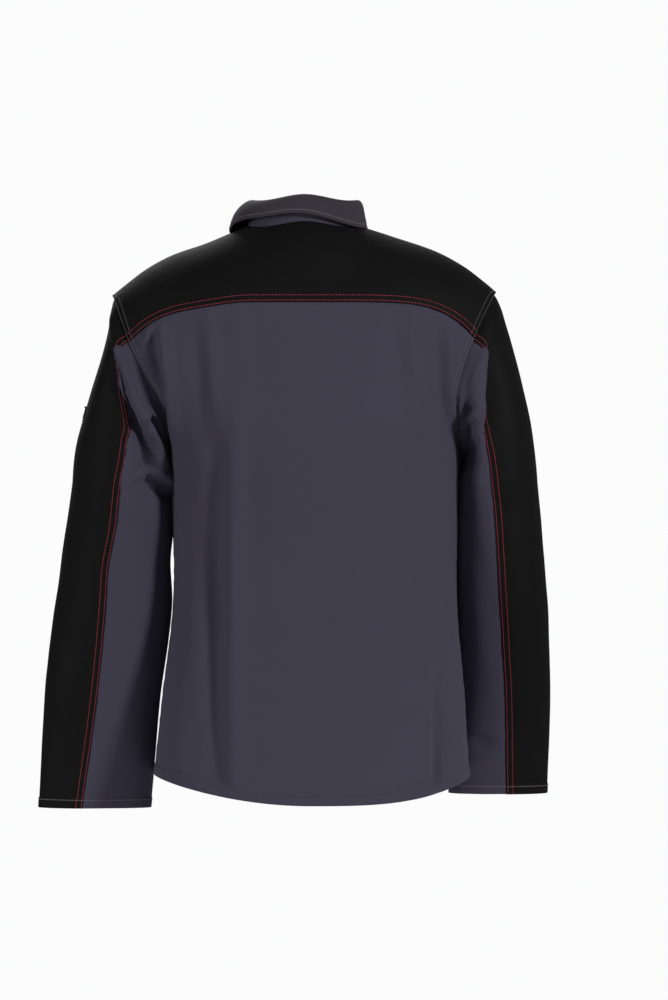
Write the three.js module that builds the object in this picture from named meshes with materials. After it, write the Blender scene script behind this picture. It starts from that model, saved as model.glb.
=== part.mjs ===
// Welder's work jacket: cloth panels, collar, concealed press-stud front, pockets and set-in sleeves.
// Millimetres, +Z up. The jacket faces -Y and the wearer's left is +X.
// Shapes are drawn round a block whose side seams lie at y = 0 and whose back neck seam lies at
// z = 0; the finished group is moved so that the origin is where a hook bears on the hanger loop.
import * as THREE from "three";

// Cloth and seams
const clothThickness = 1.5; // one panel, with its seam allowances
const seamGap = 0.4; // between two panels that are sewn edge to edge
const sleeveSeamGap = clothThickness + 0.9; // from the armhole edge to the sleeve head, which leans in under it
const neckSeamGap = 1.1; // between the neck edge and the collar stand

// Levels, as heights below the back neck seam
const backHemZ = -738;
const sideHemZ = -712;
const frontHemZ = -718;
const underarmZ = -285;
const shoulderTipZ = -87;
const backYokeZ = -103; // seam at the centre back
const backYokeSideZ = -149; // the same seam where it meets the armhole
const backYokeCurve = 3.4; // the seam falls with this power of the width
const frontYokeZ = -165;
const waistJointZ = -335; // above this the fronts stay shut, below it they swing open

// Widths from the centre line
const neckHalfWidth = 72;
const shoulderTipX = 246;
const frontOverlap = 28; // the left front runs this far past the centre, over the right one
const neckDrop = { back: 26, front: 111 }; // below the shoulder line, at the centre

// Values that change with height or width, as [station, value] pairs.
const bodyHalfWidth = [
  [backHemZ, 202],
  [-605, 191],
  [-480, 179],
  [-380, 180],
  [underarmZ, 184],
];
const armholeHalfWidth = [
  [underarmZ, 184],
  [-225, 190],
  [-180, 203],
  [-137, 220],
  [shoulderTipZ, shoulderTipX],
];
const bodyShift = [
  [backHemZ, -8],
  [-480, -13],
  [underarmZ, -12],
  [-137, -3],
  [0, 0],
];
const backDepth = [
  [backHemZ, 138],
  [-480, 122],
  [underarmZ, 130],
  [-150, 122],
  [30, 98],
];
const frontDepth = [
  [backHemZ, 134],
  [-500, 130],
  [-340, 132],
  [-150, 132],
  [-60, 112],
  [30, 98],
];
const shoulderLine = [
  [-neckHalfWidth, -3],
  [0, 26],
  [neckHalfWidth, -3],
  [109, -15],
  [166, -34],
  [202, -53],
  [228, -72],
  [shoulderTipX, shoulderTipZ],
  [290, -126],
];
const princessSeam = [
  [backHemZ, 150],
  [-480, 143],
  [waistJointZ, 150],
  [-250, 172],
  [frontYokeZ, 197],
];
const backSquareness = 2.5; // exponent of the superellipse that a level section follows
const frontSquareness = 3;
const armholeFlare = 0.16; // how much wider than the armhole the section above it is drawn
const armholeFlareRise = 80;
const shoulderRound = { back: 95, front: 80 }; // radius over the top of the shoulder

// Sleeves
const headSlope = { out: 0.42, down: 0.9 }; // direction in which the cloth leaves the armhole
const sleeveHeadZ = -330; // the sleeve head ends and the arm's hinge lies at this level
const elbowZ = -490;
const sleeves = [
  {
    side: "left",
    sign: 1,
    cuffZ: -737,
    outerEdge: [[-737, 338], [-605, 330], [-453, 312], [sleeveHeadZ, 297]],
    innerEdge: [[-737, 196], [-605, 187], [-529, 174], [-453, 171], [sleeveHeadZ, 178]],
    centreY: [[-737, -42], [-605, -30], [-453, -14], [sleeveHeadZ, -2]],
    halfDepth: [[-737, 30], [-605, 42], [-453, 58], [sleeveHeadZ, 72]],
    seamAngle: [[-737, 78], [-453, 84], [sleeveHeadZ, 91], [-208, 95], [shoulderTipZ, 68]],
  },
  {
    side: "right",
    sign: -1,
    cuffZ: -724,
    outerEdge: [[-724, 311], [-605, 312], [-453, 305], [sleeveHeadZ, 295]],
    innerEdge: [[-724, 185], [-605, 197], [-529, 198], [-453, 199], [sleeveHeadZ, 202]],
    centreY: [[-724, -118], [-605, -80], [-529, -52], [-453, -30], [sleeveHeadZ, -5]],
    halfDepth: [[-724, 38], [-605, 45], [-453, 60], [sleeveHeadZ, 74]],
    seamAngle: [[-724, 81], [-498, 93], [sleeveHeadZ, 100], [-208, 102], [shoulderTipZ, 68]],
  },
];
const sleeveAngleGap = 0.3; // degrees, between the outer and under panel

// Collar
const collarCloth = 2;
const collarStandHeight = { back: 31, side: 30, front: 20 };
const collarEnd = -84; // turn round the neck at which the collar ends, on each side of the centre front
const collarLean = 0.12; // the stand leans in by this share of its height
const collarLeaf = { reach: { back: 16, side: 26, front: 27 }, drop: { back: 27, side: 30, front: 50 } };

// Front closure: sheets and studs, as depths below the front's outer face
const studSeat = 0.7; // between a stud and the cloth that it is riveted to
const stripThickness = 1.2;
const flyDepth = clothThickness + seamGap;
const flyWidth = { from: -26, to: 34 };
const socketDepth = flyDepth + stripThickness + studSeat;
const studDiscDepth = socketDepth + 3; // the post stands inside the cup
const underPlacketDepth = studDiscDepth + 1.8;
const underPlacketWidth = { from: -58, to: 24 };
const studLevels = { upper: [-140, -222, -305], lower: [-420, -530, -640] };
const socket = { radius: 6.5, height: 2.5, bore: 3, boreDepth: 2 };
const stud = { radius: 6, disc: 1.2, post: 2.2, postHeight: 2.2 };

// Pockets
const pocketGap = 0.8; // between a patch and the cloth that it is sewn to
const flapStudInset = 18; // from the flap's lower edge to the stud
const chestPocket = { from: 45, to: 146, top: -190, bottom: -325, rise: 7, edge: 14 };
const chestFlap = { from: 41, to: 150, top: -172, bottom: -236 };
const studClearance = 0.6; // between a flap's socket and the disc of its stud
const innerPocket = { from: 50, to: 150, top: -205, bottom: -322, rise: 10, edge: 14 };
const sidePocket = {
  top: -430,
  bottom: -600,
  rise: 11,
  edge: 16,
  width: 66,
  mouth: { turn: 27, slant: 7 }, // degrees round the level section from the side seam, and its lean
  bag: 24,
  welt: 5,
};
const penPocket = { top: -232, bottom: -318, from: -34, to: 22, rise: 6.5, edge: 9 };

// Hanger loop and label
const loopGap = 0.5; // between the ends of the loop and the stand
const hangerLoop = { halfTurn: 22, low: 3, rise: 14, tape: 7, thickness: 1.4, bow: 5 };
const sizeLabel = { width: 42, height: 34, z: -42, thickness: 0.8, inset: clothThickness + 0.8 };

const radians = THREE.MathUtils.degToRad;
const lerp = THREE.MathUtils.lerp;
const smoothstep = (value, low, high) => THREE.MathUtils.smoothstep(value, low, high);

// Smooth curve through [station, value] pairs in rising order; the end values run on outside it.
function through(stations, at) {
  const last = stations.length - 1;
  let i = 0;
  while (i < last - 1 && at > stations[i + 1][0]) {
    i += 1;
  }
  const slope = (k) => {
    const low = stations[Math.max(k - 1, 0)];
    const high = stations[Math.min(k + 1, last)];
    return (high[1] - low[1]) / (high[0] - low[0]);
  };
  const [x0, y0] = stations[i];
  const [x1, y1] = stations[i + 1];
  const span = x1 - x0;
  const t = THREE.MathUtils.clamp((at - x0) / span, 0, 1);
  const bend = t * t * (3 - 2 * t);
  return (
    lerp(y0, y1, bend) +
    span * slope(i) * t * (1 - t) * (1 - t) -
    span * slope(i + 1) * t * t * (1 - t)
  );
}

// The body block

// Half width of the whole level section; above the underarm it runs on past the armhole.
function sectionHalfWidth(z) {
  if (z <= underarmZ) return through(bodyHalfWidth, z);
  const flare = armholeFlare * smoothstep(z - underarmZ, 0, armholeFlareRise);
  return through(armholeHalfWidth, z) * (1 + flare);
}

const shoulderHeight = (x) => through(shoulderLine, Math.abs(x));

// Distance of the cloth from the y = 0 plane at width x and height z.
function depthAt(face, x, z) {
  const squareness = face === "back" ? backSquareness : frontSquareness;
  const full = through(face === "back" ? backDepth : frontDepth, z);
  const share = Math.min(Math.abs(x) / sectionHalfWidth(z), 1);
  const radius = shoulderRound[face];
  const below = THREE.MathUtils.clamp((shoulderHeight(x) - z) / radius, 0, 1);
  const rounding = Math.sqrt(1 - (1 - below) ** 2);
  return full * (1 - share ** squareness) ** (1 / squareness) * rounding;
}

// A point on the block's outer face. The front and back halves lie half a seam gap from y = 0.
function bodyPoint(face, x, z) {
  const sign = face === "back" ? 1 : -1;
  const y = sign * (depthAt(face, x, z) + seamGap / 2);
  return new THREE.Vector3(through(bodyShift, z) + x, y, z);
}

// Width x that lies a turn (0 at the side seam, 90 at the centre) round the level section.
function widthAtTurn(face, turn, z) {
  const squareness = face === "back" ? backSquareness : frontSquareness;
  return sectionHalfWidth(z) * Math.cos(radians(turn)) ** (2 / squareness);
}

function turnAtWidth(face, x, z) {
  const squareness = face === "back" ? backSquareness : frontSquareness;
  const share = THREE.MathUtils.clamp(x / sectionHalfWidth(z), 0, 1);
  return THREE.MathUtils.radToDeg(Math.acos(share ** (squareness / 2)));
}

// Where a panel's side edge lies: on the side seam below the underarm, on the armhole above it.
function edgeTurn(face, z) {
  return z <= underarmZ ? 0 : turnAtWidth(face, through(armholeHalfWidth, z), z);
}

const backYokeSeam = (x) => {
  const reach = Math.abs(x) / through(armholeHalfWidth, backYokeSideZ);
  return lerp(backYokeZ, backYokeSideZ, reach ** backYokeCurve);
};

function hemHeight(face, x) {
  const share = Math.min(Math.abs(x) / bodyHalfWidth[0][1], 1);
  const middle = face === "back" ? backHemZ : frontHemZ;
  return lerp(middle, sideHemZ, share ** 2);
}

const neckHeight = (face, x) => {
  const share = Math.min(Math.abs(x) / neckHalfWidth, 1);
  const fall = (1 - share ** 2) ** (face === "back" ? 1 : 0.8);
  return shoulderHeight(x) - neckDrop[face] * fall;
};

const topHeight = (face, x) => (Math.abs(x) < neckHalfWidth ? neckHeight(face, x) : shoulderHeight(x));

// Solids

const steps = (count, from = 0, to = 1) =>
  Array.from({ length: count + 1 }, (_, i) => lerp(from, to, i / count));

// Outward normal of a surface at (u, v); turned over when flip is -1.
function normalAt(surface, u, v, flip) {
  const step = 1e-3;
  const alongU = surface(Math.min(u + step, 1), v).sub(surface(Math.max(u - step, 0), v));
  const alongV = surface(u, Math.min(v + step, 1)).sub(surface(u, Math.max(v - step, 0)));
  return alongU.cross(alongV).normalize().multiplyScalar(flip);
}

// The surface moved out along its own normal by lift, a number or a function of (u, v).
function lifted(surface, lift, flip = 1) {
  const amount = typeof lift === "function" ? lift : () => lift;
  return (u, v) => surface(u, v).addScaledVector(normalAt(surface, u, v, flip), amount(u, v));
}

// A closed sheet of cloth: surface(u, v) is its outer face, and thickness goes inwards.
function clothSheet(surface, us, vs, { thickness = clothThickness, flip = 1 } = {}) {
  const points = [];
  for (const depth of [0, thickness]) {
    for (const v of vs) {
      for (const u of us) points.push(surface(u, v).addScaledVector(normalAt(surface, u, v, flip), -depth));
    }
  }
  const columns = us.length;
  const layer = columns * vs.length;
  const faces = [];
  const quad = (a, b, c, d) => faces.push(a, b, c, a, c, d);
  for (let j = 0; j < vs.length - 1; j++) {
    for (let i = 0; i < columns - 1; i++) {
      const k = j * columns + i;
      quad(k, k + 1, k + 1 + columns, k + columns);
      quad(layer + k, layer + k + columns, layer + k + 1 + columns, layer + k + 1);
    }
  }
  const rim = (a, b) => quad(b, a, a + layer, b + layer);
  for (let i = 0; i < columns - 1; i++) {
    rim(i, i + 1);
    rim(layer - columns + i + 1, layer - columns + i);
  }
  for (let j = 0; j < vs.length - 1; j++) {
    rim((j + 1) * columns, j * columns);
    rim(j * columns + columns - 1, (j + 2) * columns - 1);
  }
  if (flip < 0) faces.reverse();
  const geometry = new THREE.BufferGeometry().setFromPoints(points);
  geometry.setIndex(faces);
  geometry.computeVertexNormals();
  return geometry;
}

const cloth = (name, colour) =>
  new THREE.MeshStandardMaterial({ name, color: colour, roughness: 0.9, metalness: 0, side: THREE.DoubleSide });
const greyTwill = cloth("grey_twill", 0x54515f);
const blackTwill = cloth("black_twill", 0x1b1b1e);
const pocketing = cloth("pocketing", 0x3b3a42);
const labelCloth = cloth("label_cloth", 0xd8d6d0);
const studMetal = new THREE.MeshStandardMaterial({
  name: "stud_metal",
  color: 0x6d6f73,
  roughness: 0.35,
  metalness: 1,
});

const jacket = new THREE.Group();
function addPiece(name, geometry, material, parent = jacket) {
  const mesh = new THREE.Mesh(geometry, material);
  mesh.name = name;
  parent.add(mesh);
  return mesh;
}

// Back

function backPanelSurface(u, v) {
  // The column's top end lies on the yoke seam, found by stepping towards it.
  let topZ = backYokeZ;
  const columnX = (z) => {
    const edge = edgeTurn("back", z);
    const turn = lerp(edge, 180 - edge, u);
    return turn <= 90 ? widthAtTurn("back", turn, z) : -widthAtTurn("back", 180 - turn, z);
  };
  for (let k = 0; k < 4; k++) topZ = backYokeSeam(columnX(topZ)) - seamGap / 2;
  const z = lerp(hemHeight("back", columnX(backHemZ)), topZ, v);
  return bodyPoint("back", columnX(z), z);
}

function makeBackPanel() {
  addPiece("back_panel", clothSheet(backPanelSurface, steps(18), steps(15)), greyTwill);
}

// A yoke hangs from the shoulder line and the neck. xs holds the widths of its columns at the top,
// and they draw in so that the lower corners lie on the armhole.
function yokeSurface(face, seam, xs) {
  const tuck = through(armholeHalfWidth, seam(shoulderTipX)) / shoulderTipX;
  return (u, v) => {
    const last = xs.length - 1;
    const i = Math.min(Math.floor(u * last), last - 1);
    const topX = lerp(xs[i], xs[i + 1], u * last - i);
    const lowX = topX * lerp(1, tuck, smoothstep(Math.abs(topX), neckHalfWidth / 2, shoulderTipX));
    const climb = Math.sin((v * Math.PI) / 2);
    const z = lerp(seam(lowX) + seamGap / 2, topHeight(face, topX), climb);
    const reach = through(armholeHalfWidth, Math.min(z, shoulderTipZ));
    return bodyPoint(face, THREE.MathUtils.clamp(lerp(lowX, topX, climb), -reach, reach), z);
  };
}

const mirroredWidths = (xs) => [...xs, ...xs.slice(0, -1).reverse().map((x) => -x)];
const shoulderWidths = [shoulderTipX, 222, 196, 166, 136, 108, 86, neckHalfWidth];
const neckWidths = [68, 62, 54, 46, 36, 26, 16, 8, 0];

function makeBackYoke() {
  const xs = mirroredWidths([...shoulderWidths, ...neckWidths]);
  const surface = yokeSurface("back", backYokeSeam, xs);
  addPiece("back_yoke", clothSheet(surface, steps(xs.length - 1), steps(7)), blackTwill);
}

// Fronts

const frontYokeSeam = () => frontYokeZ;

// The centre front from the centre edge to the princess seam, from lowZ(x) up to top.
function centreFrontSurface(sign, lowZ, top, edgeX) {
  return (u, v) => {
    const columnX = (z) => lerp(edgeX, through(princessSeam, z) - seamGap / 2, u);
    const z = lerp(lowZ(columnX(frontHemZ)), top, v);
    return bodyPoint("front", sign * columnX(z), z);
  };
}

// The side front from the side seam and armhole to the princess seam.
function sideFrontSurface(sign) {
  const top = frontYokeZ - seamGap / 2;
  const princessTurn = (z) => turnAtWidth("front", through(princessSeam, z) + seamGap / 2, z);
  return (u, v) => {
    const turnAt = (z) => lerp(edgeTurn("front", z), princessTurn(z), u);
    const z = lerp(hemHeight("front", widthAtTurn("front", turnAt(frontHemZ), frontHemZ)), top, v);
    return bodyPoint("front", sign * widthAtTurn("front", turnAt(z), z), z);
  };
}

// How far each front runs past the centre: the left one lies over the right one.
const centreEdge = { left: -frontOverlap, right: frontOverlap + seamGap };

function makeFronts() {
  // The side front's rows meet those of the centre front along the seam between them.
  const upperRows = 7;
  const lowerRows = 9;
  const joint = (waistJointZ - frontHemZ) / (frontYokeZ - frontHemZ);
  const sideRows = [...steps(lowerRows, 0, joint), ...steps(upperRows, joint, 1).slice(1)];
  for (const { side, sign } of sleeves) {
    const edge = centreEdge[side];
    const upperLow = () => waistJointZ + seamGap / 2;
    const lowerLow = (x) => hemHeight("front", x);
    const upper = centreFrontSurface(sign, upperLow, frontYokeZ - seamGap / 2, edge);
    const lower = centreFrontSurface(sign, lowerLow, waistJointZ - seamGap / 2, edge);
    addPiece(`${side}_front_upper`, clothSheet(upper, steps(14), steps(upperRows), { flip: sign }), greyTwill);
    addPiece(`${side}_front_lower`, clothSheet(lower, steps(14), steps(lowerRows), { flip: sign }), greyTwill);
    const sideFront = clothSheet(sideFrontSurface(sign), steps(6), sideRows, { flip: -sign });
    addPiece(`${side}_side_front`, sideFront, greyTwill);
    const widths = [-28, -18, -9, ...[...shoulderWidths, ...neckWidths].reverse()];
    const xs = [edge, ...widths.filter((x) => x > edge)];
    const yoke = yokeSurface("front", frontYokeSeam, xs.map((x) => sign * x));
    const yokeCloth = clothSheet(yoke, steps(xs.length - 1), steps(7), { flip: sign });
    addPiece(`${side}_front_yoke`, yokeCloth, blackTwill);
  }
}

// A strip behind the front edge, depth below the front's outer face.
function stripSurface(strip, bottomZ, topZ, depth) {
  const base = (u, v) => {
    const x = lerp(strip.from, strip.to, u);
    const low = bottomZ === null ? hemHeight("front", x) + 6 : bottomZ;
    const high = topZ === null ? topHeight("front", x) - 4 : topZ;
    const z = lerp(low, high, v);
    return bodyPoint("front", x, z);
  };
  return lifted(base, -depth);
}

function makeClosure() {
  const joint = { below: waistJointZ - seamGap / 2, above: waistJointZ + seamGap / 2 };
  const strips = [
    ["left_fly_facing", flyWidth, flyDepth],
    ["right_placket", underPlacketWidth, underPlacketDepth],
  ];
  for (const [name, strip, depth] of strips) {
    const upper = stripSurface(strip, joint.above, null, depth);
    const lower = stripSurface(strip, null, joint.below, depth);
    addPiece(`${name}_upper`, clothSheet(upper, steps(3), steps(12), { thickness: stripThickness }), greyTwill);
    addPiece(`${name}_lower`, clothSheet(lower, steps(3), steps(8), { thickness: stripThickness }), greyTwill);
  }
  const levels = [...studLevels.upper, ...studLevels.lower];
  levels.forEach((z, i) => {
    addStud(`front_socket_${i + 1}`, socketGeometry(), frontFrame(0, z), socketDepth);
    addStud(`front_stud_${i + 1}`, studGeometry(), frontFrame(0, z), studDiscDepth);
  });
}

// Press studs

// A cup that opens towards the wearer: its local +Y is the outward normal.
function socketGeometry() {
  const { radius, height, bore, boreDepth } = socket;
  const profile = [
    [0, 0],
    [radius, 0],
    [radius, -height],
    [bore, -height],
    [bore, -height + boreDepth],
    [0, -height + boreDepth],
  ];
  return latheFrom(profile);
}

// A disc with a post that points outwards into the cup.
function studGeometry() {
  const { radius, disc, post, postHeight } = stud;
  const profile = [
    [0, postHeight],
    [post, postHeight],
    [post, 0],
    [radius, 0],
    [radius, -disc],
    [0, -disc],
  ];
  return latheFrom(profile);
}

function latheFrom(profile) {
  const points = profile.map(([r, y]) => new THREE.Vector2(r, y)).reverse();
  return new THREE.LatheGeometry(points, 10);
}

// Position and outward normal of a point on the front's outer face.
function frontFrame(x, z) {
  const surface = (u, v) => bodyPoint("front", x + (u - 0.5) * 8, z + (v - 0.5) * 8);
  return { at: surface(0.5, 0.5), normal: normalAt(surface, 0.5, 0.5, 1) };
}

function addStud(name, geometry, frame, depth) {
  const mesh = addPiece(name, geometry, studMetal);
  mesh.position.copy(frame.at).addScaledVector(frame.normal, -depth);
  mesh.quaternion.setFromUnitVectors(new THREE.Vector3(0, 1, 0), frame.normal);
}

// Pockets

// Share of a pocket's full rise at (u, v): nil along the sewn edges, full elsewhere. The edge v = 1 is
// open.
function pouch(width, height, edge) {
  return (u, v) => smoothstep(Math.min(u, 1 - u) * width, 0, edge) * smoothstep(v * height, 0, edge);
}

// Grid lines that gather at the sewn edges; the last one lies on the open edge where open is true.
function pouchSteps(edge, length, count, open = false) {
  const share = edge / length;
  const inner = steps(count, share, open ? 1 : 1 - share);
  return open ? [0, share / 2, ...inner] : [0, share / 2, ...inner, 1 - share / 2, 1];
}

function addPocket(name, base, { width, height, rise, edge }, { flip, outwards = true, material = greyTwill }) {
  const swell = pouch(width, height, edge);
  const towards = outwards ? 1 : -1;
  const lift = (u, v) => towards * (clothThickness + pocketGap + rise * swell(u, v));
  const us = pouchSteps(edge, width, 5);
  const vs = pouchSteps(edge, height, 5, true);
  addPiece(name, clothSheet(lifted(base, lift, flip), us, vs, { flip }), material);
}

function makeChestPockets() {
  const { from, to, top, bottom } = chestPocket;
  const size = { ...chestPocket, width: to - from, height: top - bottom };
  for (const { side, sign } of sleeves) {
    const base = (u, v) => bodyPoint("front", sign * lerp(from, to, u), lerp(bottom, top, v));
    addPocket(`${side}_chest_pocket`, base, size, { flip: sign });
    makeChestFlap(side, sign);
  }
}

function makeChestFlap(side, sign) {
  const { from, to, top, bottom } = chestFlap;
  const pocketOutside = clothThickness + pocketGap + chestPocket.rise;
  const studDisc = pocketOutside + studSeat + stud.disc;
  const rise = studDisc + studClearance + socket.height + studSeat;
  const base = (u, v) => bodyPoint("front", sign * lerp(from, to, u), lerp(bottom, top, v));
  const lift = (u, v) => clothThickness + lerp(rise, pocketGap, smoothstep(v, 0.7, 1));
  const flap = lifted(base, lift, sign);
  addPiece(`${side}_chest_flap`, clothSheet(flap, steps(10), steps(9), { flip: sign }), greyTwill);
  const frame = frontFrame((sign * (from + to)) / 2, bottom + flapStudInset);
  addStud(`${side}_flap_socket`, socketGeometry(), frame, studSeat - rise);
  addStud(`${side}_flap_stud`, studGeometry(), frame, -studDisc);
}

function makeInnerPocket() {
  const { from, to, top, bottom } = innerPocket;
  const size = { ...innerPocket, width: to - from, height: top - bottom };
  const base = (u, v) => bodyPoint("front", lerp(from, to, u), lerp(bottom, top, v));
  addPocket("inside_pocket", base, size, { flip: 1, outwards: false, material: pocketing });
}

// The side pocket opens along a slant on the side front; its bag hangs inside.
function makeSidePockets() {
  const { top, bottom, edge, rise, mouth, bag, welt } = sidePocket;
  const face = (sign, turn, z) => bodyPoint("front", sign * widthAtTurn("front", turn, z), z);
  for (const { side, sign } of sleeves) {
    const at = (range) => (u, v) => {
      const turn = lerp(range.from, range.to, u) + lerp(0, mouth.slant, v);
      return face(sign, turn, lerp(bottom, top, v));
    };
    const bagFace = at({ from: mouth.turn - bag, to: mouth.turn });
    const size = { rise, edge, width: sidePocket.width, height: top - bottom };
    const options = { flip: -sign, outwards: false, material: pocketing };
    addPocket(`${side}_pocket_bag`, bagFace, size, options);
    const weltBase = at({ from: mouth.turn - welt, to: mouth.turn });
    const weltFace = lifted(weltBase, clothThickness + pocketGap, -sign);
    addPiece(`${side}_pocket_welt`, clothSheet(weltFace, steps(2), steps(8), { flip: -sign }), greyTwill);
  }
}

// Sleeves

// The armhole as a loop: turn 0 at the shoulder tip, 90 at the back, 180 at the underarm.
function armholePoint(sign, turn) {
  const z = lerp(underarmZ, shoulderTipZ, (1 + Math.cos(radians(turn))) / 2);
  const face = Math.sin(radians(turn)) >= 0 ? "back" : "front";
  const x = through(armholeHalfWidth, z);
  return bodyPoint(face, sign * x, z).add(new THREE.Vector3(sign * sleeveSeamGap, 0, 0));
}

// A point on a sleeve below its head: level sections are ellipses.
function sleevePoint(sleeve, turn, z) {
  const outer = through(sleeve.outerEdge, z);
  const inner = through(sleeve.innerEdge, z);
  const x = (outer + inner) / 2 + ((outer - inner) / 2) * Math.cos(radians(turn));
  const y = through(sleeve.centreY, z) + through(sleeve.halfDepth, z) * Math.sin(radians(turn));
  return new THREE.Vector3(sleeve.sign * x, y, z);
}

// The head runs from the armhole (s = 0) to the level section at sleeveHeadZ (s = 1).
function sleeveHeadPoint(sleeve, turn, s) {
  const start = armholePoint(sleeve.sign, turn);
  const end = sleevePoint(sleeve, turn, sleeveHeadZ + seamGap / 2);
  const reach = start.distanceTo(end) * 0.36;
  const away = new THREE.Vector3(sleeve.sign * headSlope.out, 0, -headSlope.down).normalize();
  const below = sleevePoint(sleeve, turn, sleeveHeadZ - 10);
  const axis = sleevePoint(sleeve, turn, sleeveHeadZ + 10).sub(below).normalize();
  const first = start.clone().addScaledVector(away, reach);
  const second = end.clone().addScaledVector(axis, reach);
  return new THREE.CubicBezierCurve3(start, first, second, end).getPoint(s);
}

// Sleeve panels meet at the seam angle, which changes down the sleeve.
function panelTurn(sleeve, panel, u, station) {
  const seam = through(sleeve.seamAngle, station);
  const gap = sleeveAngleGap;
  return panel === "outer" ? lerp(-seam + gap, seam - gap, u) : lerp(seam + gap, 360 - seam - gap, u);
}

function makeSleeves() {
  for (const sleeve of sleeves) {
    const flip = sleeve.sign;
    const parts = [
      ["arm", sleeveHeadZ - seamGap / 2, elbowZ + seamGap / 2, 5],
      ["forearm", elbowZ - seamGap / 2, sleeve.cuffZ, 7],
    ];
    for (const [panel, material] of [["outer", blackTwill], ["under", greyTwill]]) {
      const head = (u, v) => {
        const station = lerp(shoulderTipZ, sleeveHeadZ, v);
        return sleeveHeadPoint(sleeve, panelTurn(sleeve, panel, u, station), v);
      };
      const name = `${sleeve.side}_sleeve_head_${panel}`;
      addPiece(name, clothSheet(head, steps(14), steps(8), { flip: -flip }), material);
      for (const [part, top, bottom, rows] of parts) {
        const face = (u, v) => {
          const z = lerp(top, bottom, v);
          return sleevePoint(sleeve, panelTurn(sleeve, panel, u, z), z);
        };
        const partName = `${sleeve.side}_${part}_${panel}`;
        addPiece(partName, clothSheet(face, steps(11), steps(rows), { flip: -flip }), material);
      }
    }
  }
}

function makePenPocket() {
  const { top, bottom, from, to } = penPocket;
  const sleeve = sleeves[0];
  const share = (z) => (shoulderTipZ - z) / (shoulderTipZ - sleeveHeadZ);
  const base = (u, v) => sleeveHeadPoint(sleeve, lerp(from, to, u), share(lerp(bottom, top, v)));
  const width = base(0, 0.5).distanceTo(base(1, 0.5));
  const shape = { ...penPocket, width, height: top - bottom };
  addPocket("pen_pocket", base, shape, { flip: 1, material: blackTwill });
}

// Collar

// The neck seam as a loop: turn 0 at the left, 90 at the centre back, 180 at the right, and on round
// the front to the two ends.
function neckPoint(turn) {
  const x = neckHalfWidth * Math.cos(radians(turn));
  const face = Math.sin(radians(turn)) >= 0 ? "back" : "front";
  return bodyPoint(face, x, neckHeight(face, x));
}

function neckOutward(turn) {
  const along = neckPoint(turn + 1).sub(neckPoint(turn - 1));
  return new THREE.Vector3(along.y, -along.x, 0).normalize();
}

const collarTurn = (u) => lerp(collarEnd, 180 - collarEnd, u);

// A value given as { back, side, front }, at a turn round the neck.
function roundNeck(value, turn) {
  const back = Math.sin(radians(turn));
  if (back >= 0) return lerp(value.side, value.back, back ** 2);
  return lerp(value.side, value.front, back ** 2);
}

function standPoint(turn, share) {
  const height = neckSeamGap + roundNeck(collarStandHeight, turn) * share;
  return neckPoint(turn)
    .addScaledVector(neckOutward(turn), -collarLean * height)
    .add(new THREE.Vector3(0, 0, height));
}

function leafPoint(turn, share) {
  const out = neckOutward(turn);
  const fold = standPoint(turn, 1);
  const reach = roundNeck(collarLeaf.reach, turn);
  const drop = roundNeck(collarLeaf.drop, turn);
  const along = standPoint(turn + 1, 1).sub(standPoint(turn - 1, 1));
  const off = out.clone().cross(along).normalize();
  const start = fold.clone().addScaledVector(out, -collarCloth).addScaledVector(off, collarCloth + neckSeamGap);
  const moved = (outward, up) => start.clone().addScaledVector(out, outward).setZ(start.z + up);
  return new THREE.CubicBezierCurve3(
    start,
    start.clone().addScaledVector(out, collarCloth * 4).addScaledVector(off, collarCloth * 0.5),
    moved(reach, -drop * 0.3),
    moved(reach + collarCloth, -drop),
  ).getPoint(share);
}

function makeCollar() {
  const stand = (u, v) => standPoint(collarTurn(u), v);
  const leaf = (u, v) => leafPoint(collarTurn(u), v);
  addPiece("collar_stand", clothSheet(stand, steps(30), steps(3), { thickness: collarCloth }), greyTwill);
  const leafCloth = clothSheet(leaf, steps(30), steps(7), { thickness: collarCloth, flip: -1 });
  addPiece("collar_leaf", leafCloth, greyTwill);
}

// Hanger loop and label

function makeHangerLoop() {
  const { halfTurn, low, rise, tape, thickness, bow } = hangerLoop;
  const height = collarStandHeight.back;
  const behind = (u, v) => {
    const z = low + rise * Math.sin(Math.PI * u) + tape * v;
    return standPoint(90 + lerp(-halfTurn, halfTurn, u), z / height);
  };
  const face = lifted(behind, (u) => -(collarCloth + loopGap + bow * Math.sin(Math.PI * u)));
  addPiece("hanger_loop", clothSheet(face, steps(12), steps(2), { thickness }), blackTwill);
}

function makeSizeLabel() {
  const { width, height, z, thickness, inset } = sizeLabel;
  const base = (u, v) => bodyPoint("back", lerp(width / 2, -width / 2, u), lerp(z - height, z, v));
  const face = lifted(base, -inset);
  addPiece("size_label", clothSheet(face, steps(4), steps(4), { thickness }), labelCloth);
}

// The origin is where a hook bears: under the top of the loop, in the middle of its tape.
function moveOriginToHook() {
  const { low, rise, thickness, bow } = hangerLoop;
  const inwards = collarCloth + loopGap + bow + thickness / 2;
  const hook = standPoint(90, (low + rise) / collarStandHeight.back).add(new THREE.Vector3(0, -inwards, 0));
  jacket.position.copy(hook).negate();
}

makeBackPanel();
makeBackYoke();
makeFronts();
makeClosure();
makeChestPockets();
makeInnerPocket();
makeSidePockets();
makeSleeves();
makePenPocket();
makeCollar();
makeHangerLoop();
makeSizeLabel();
moveOriginToHook();

export default jacket;
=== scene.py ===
import math

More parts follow.
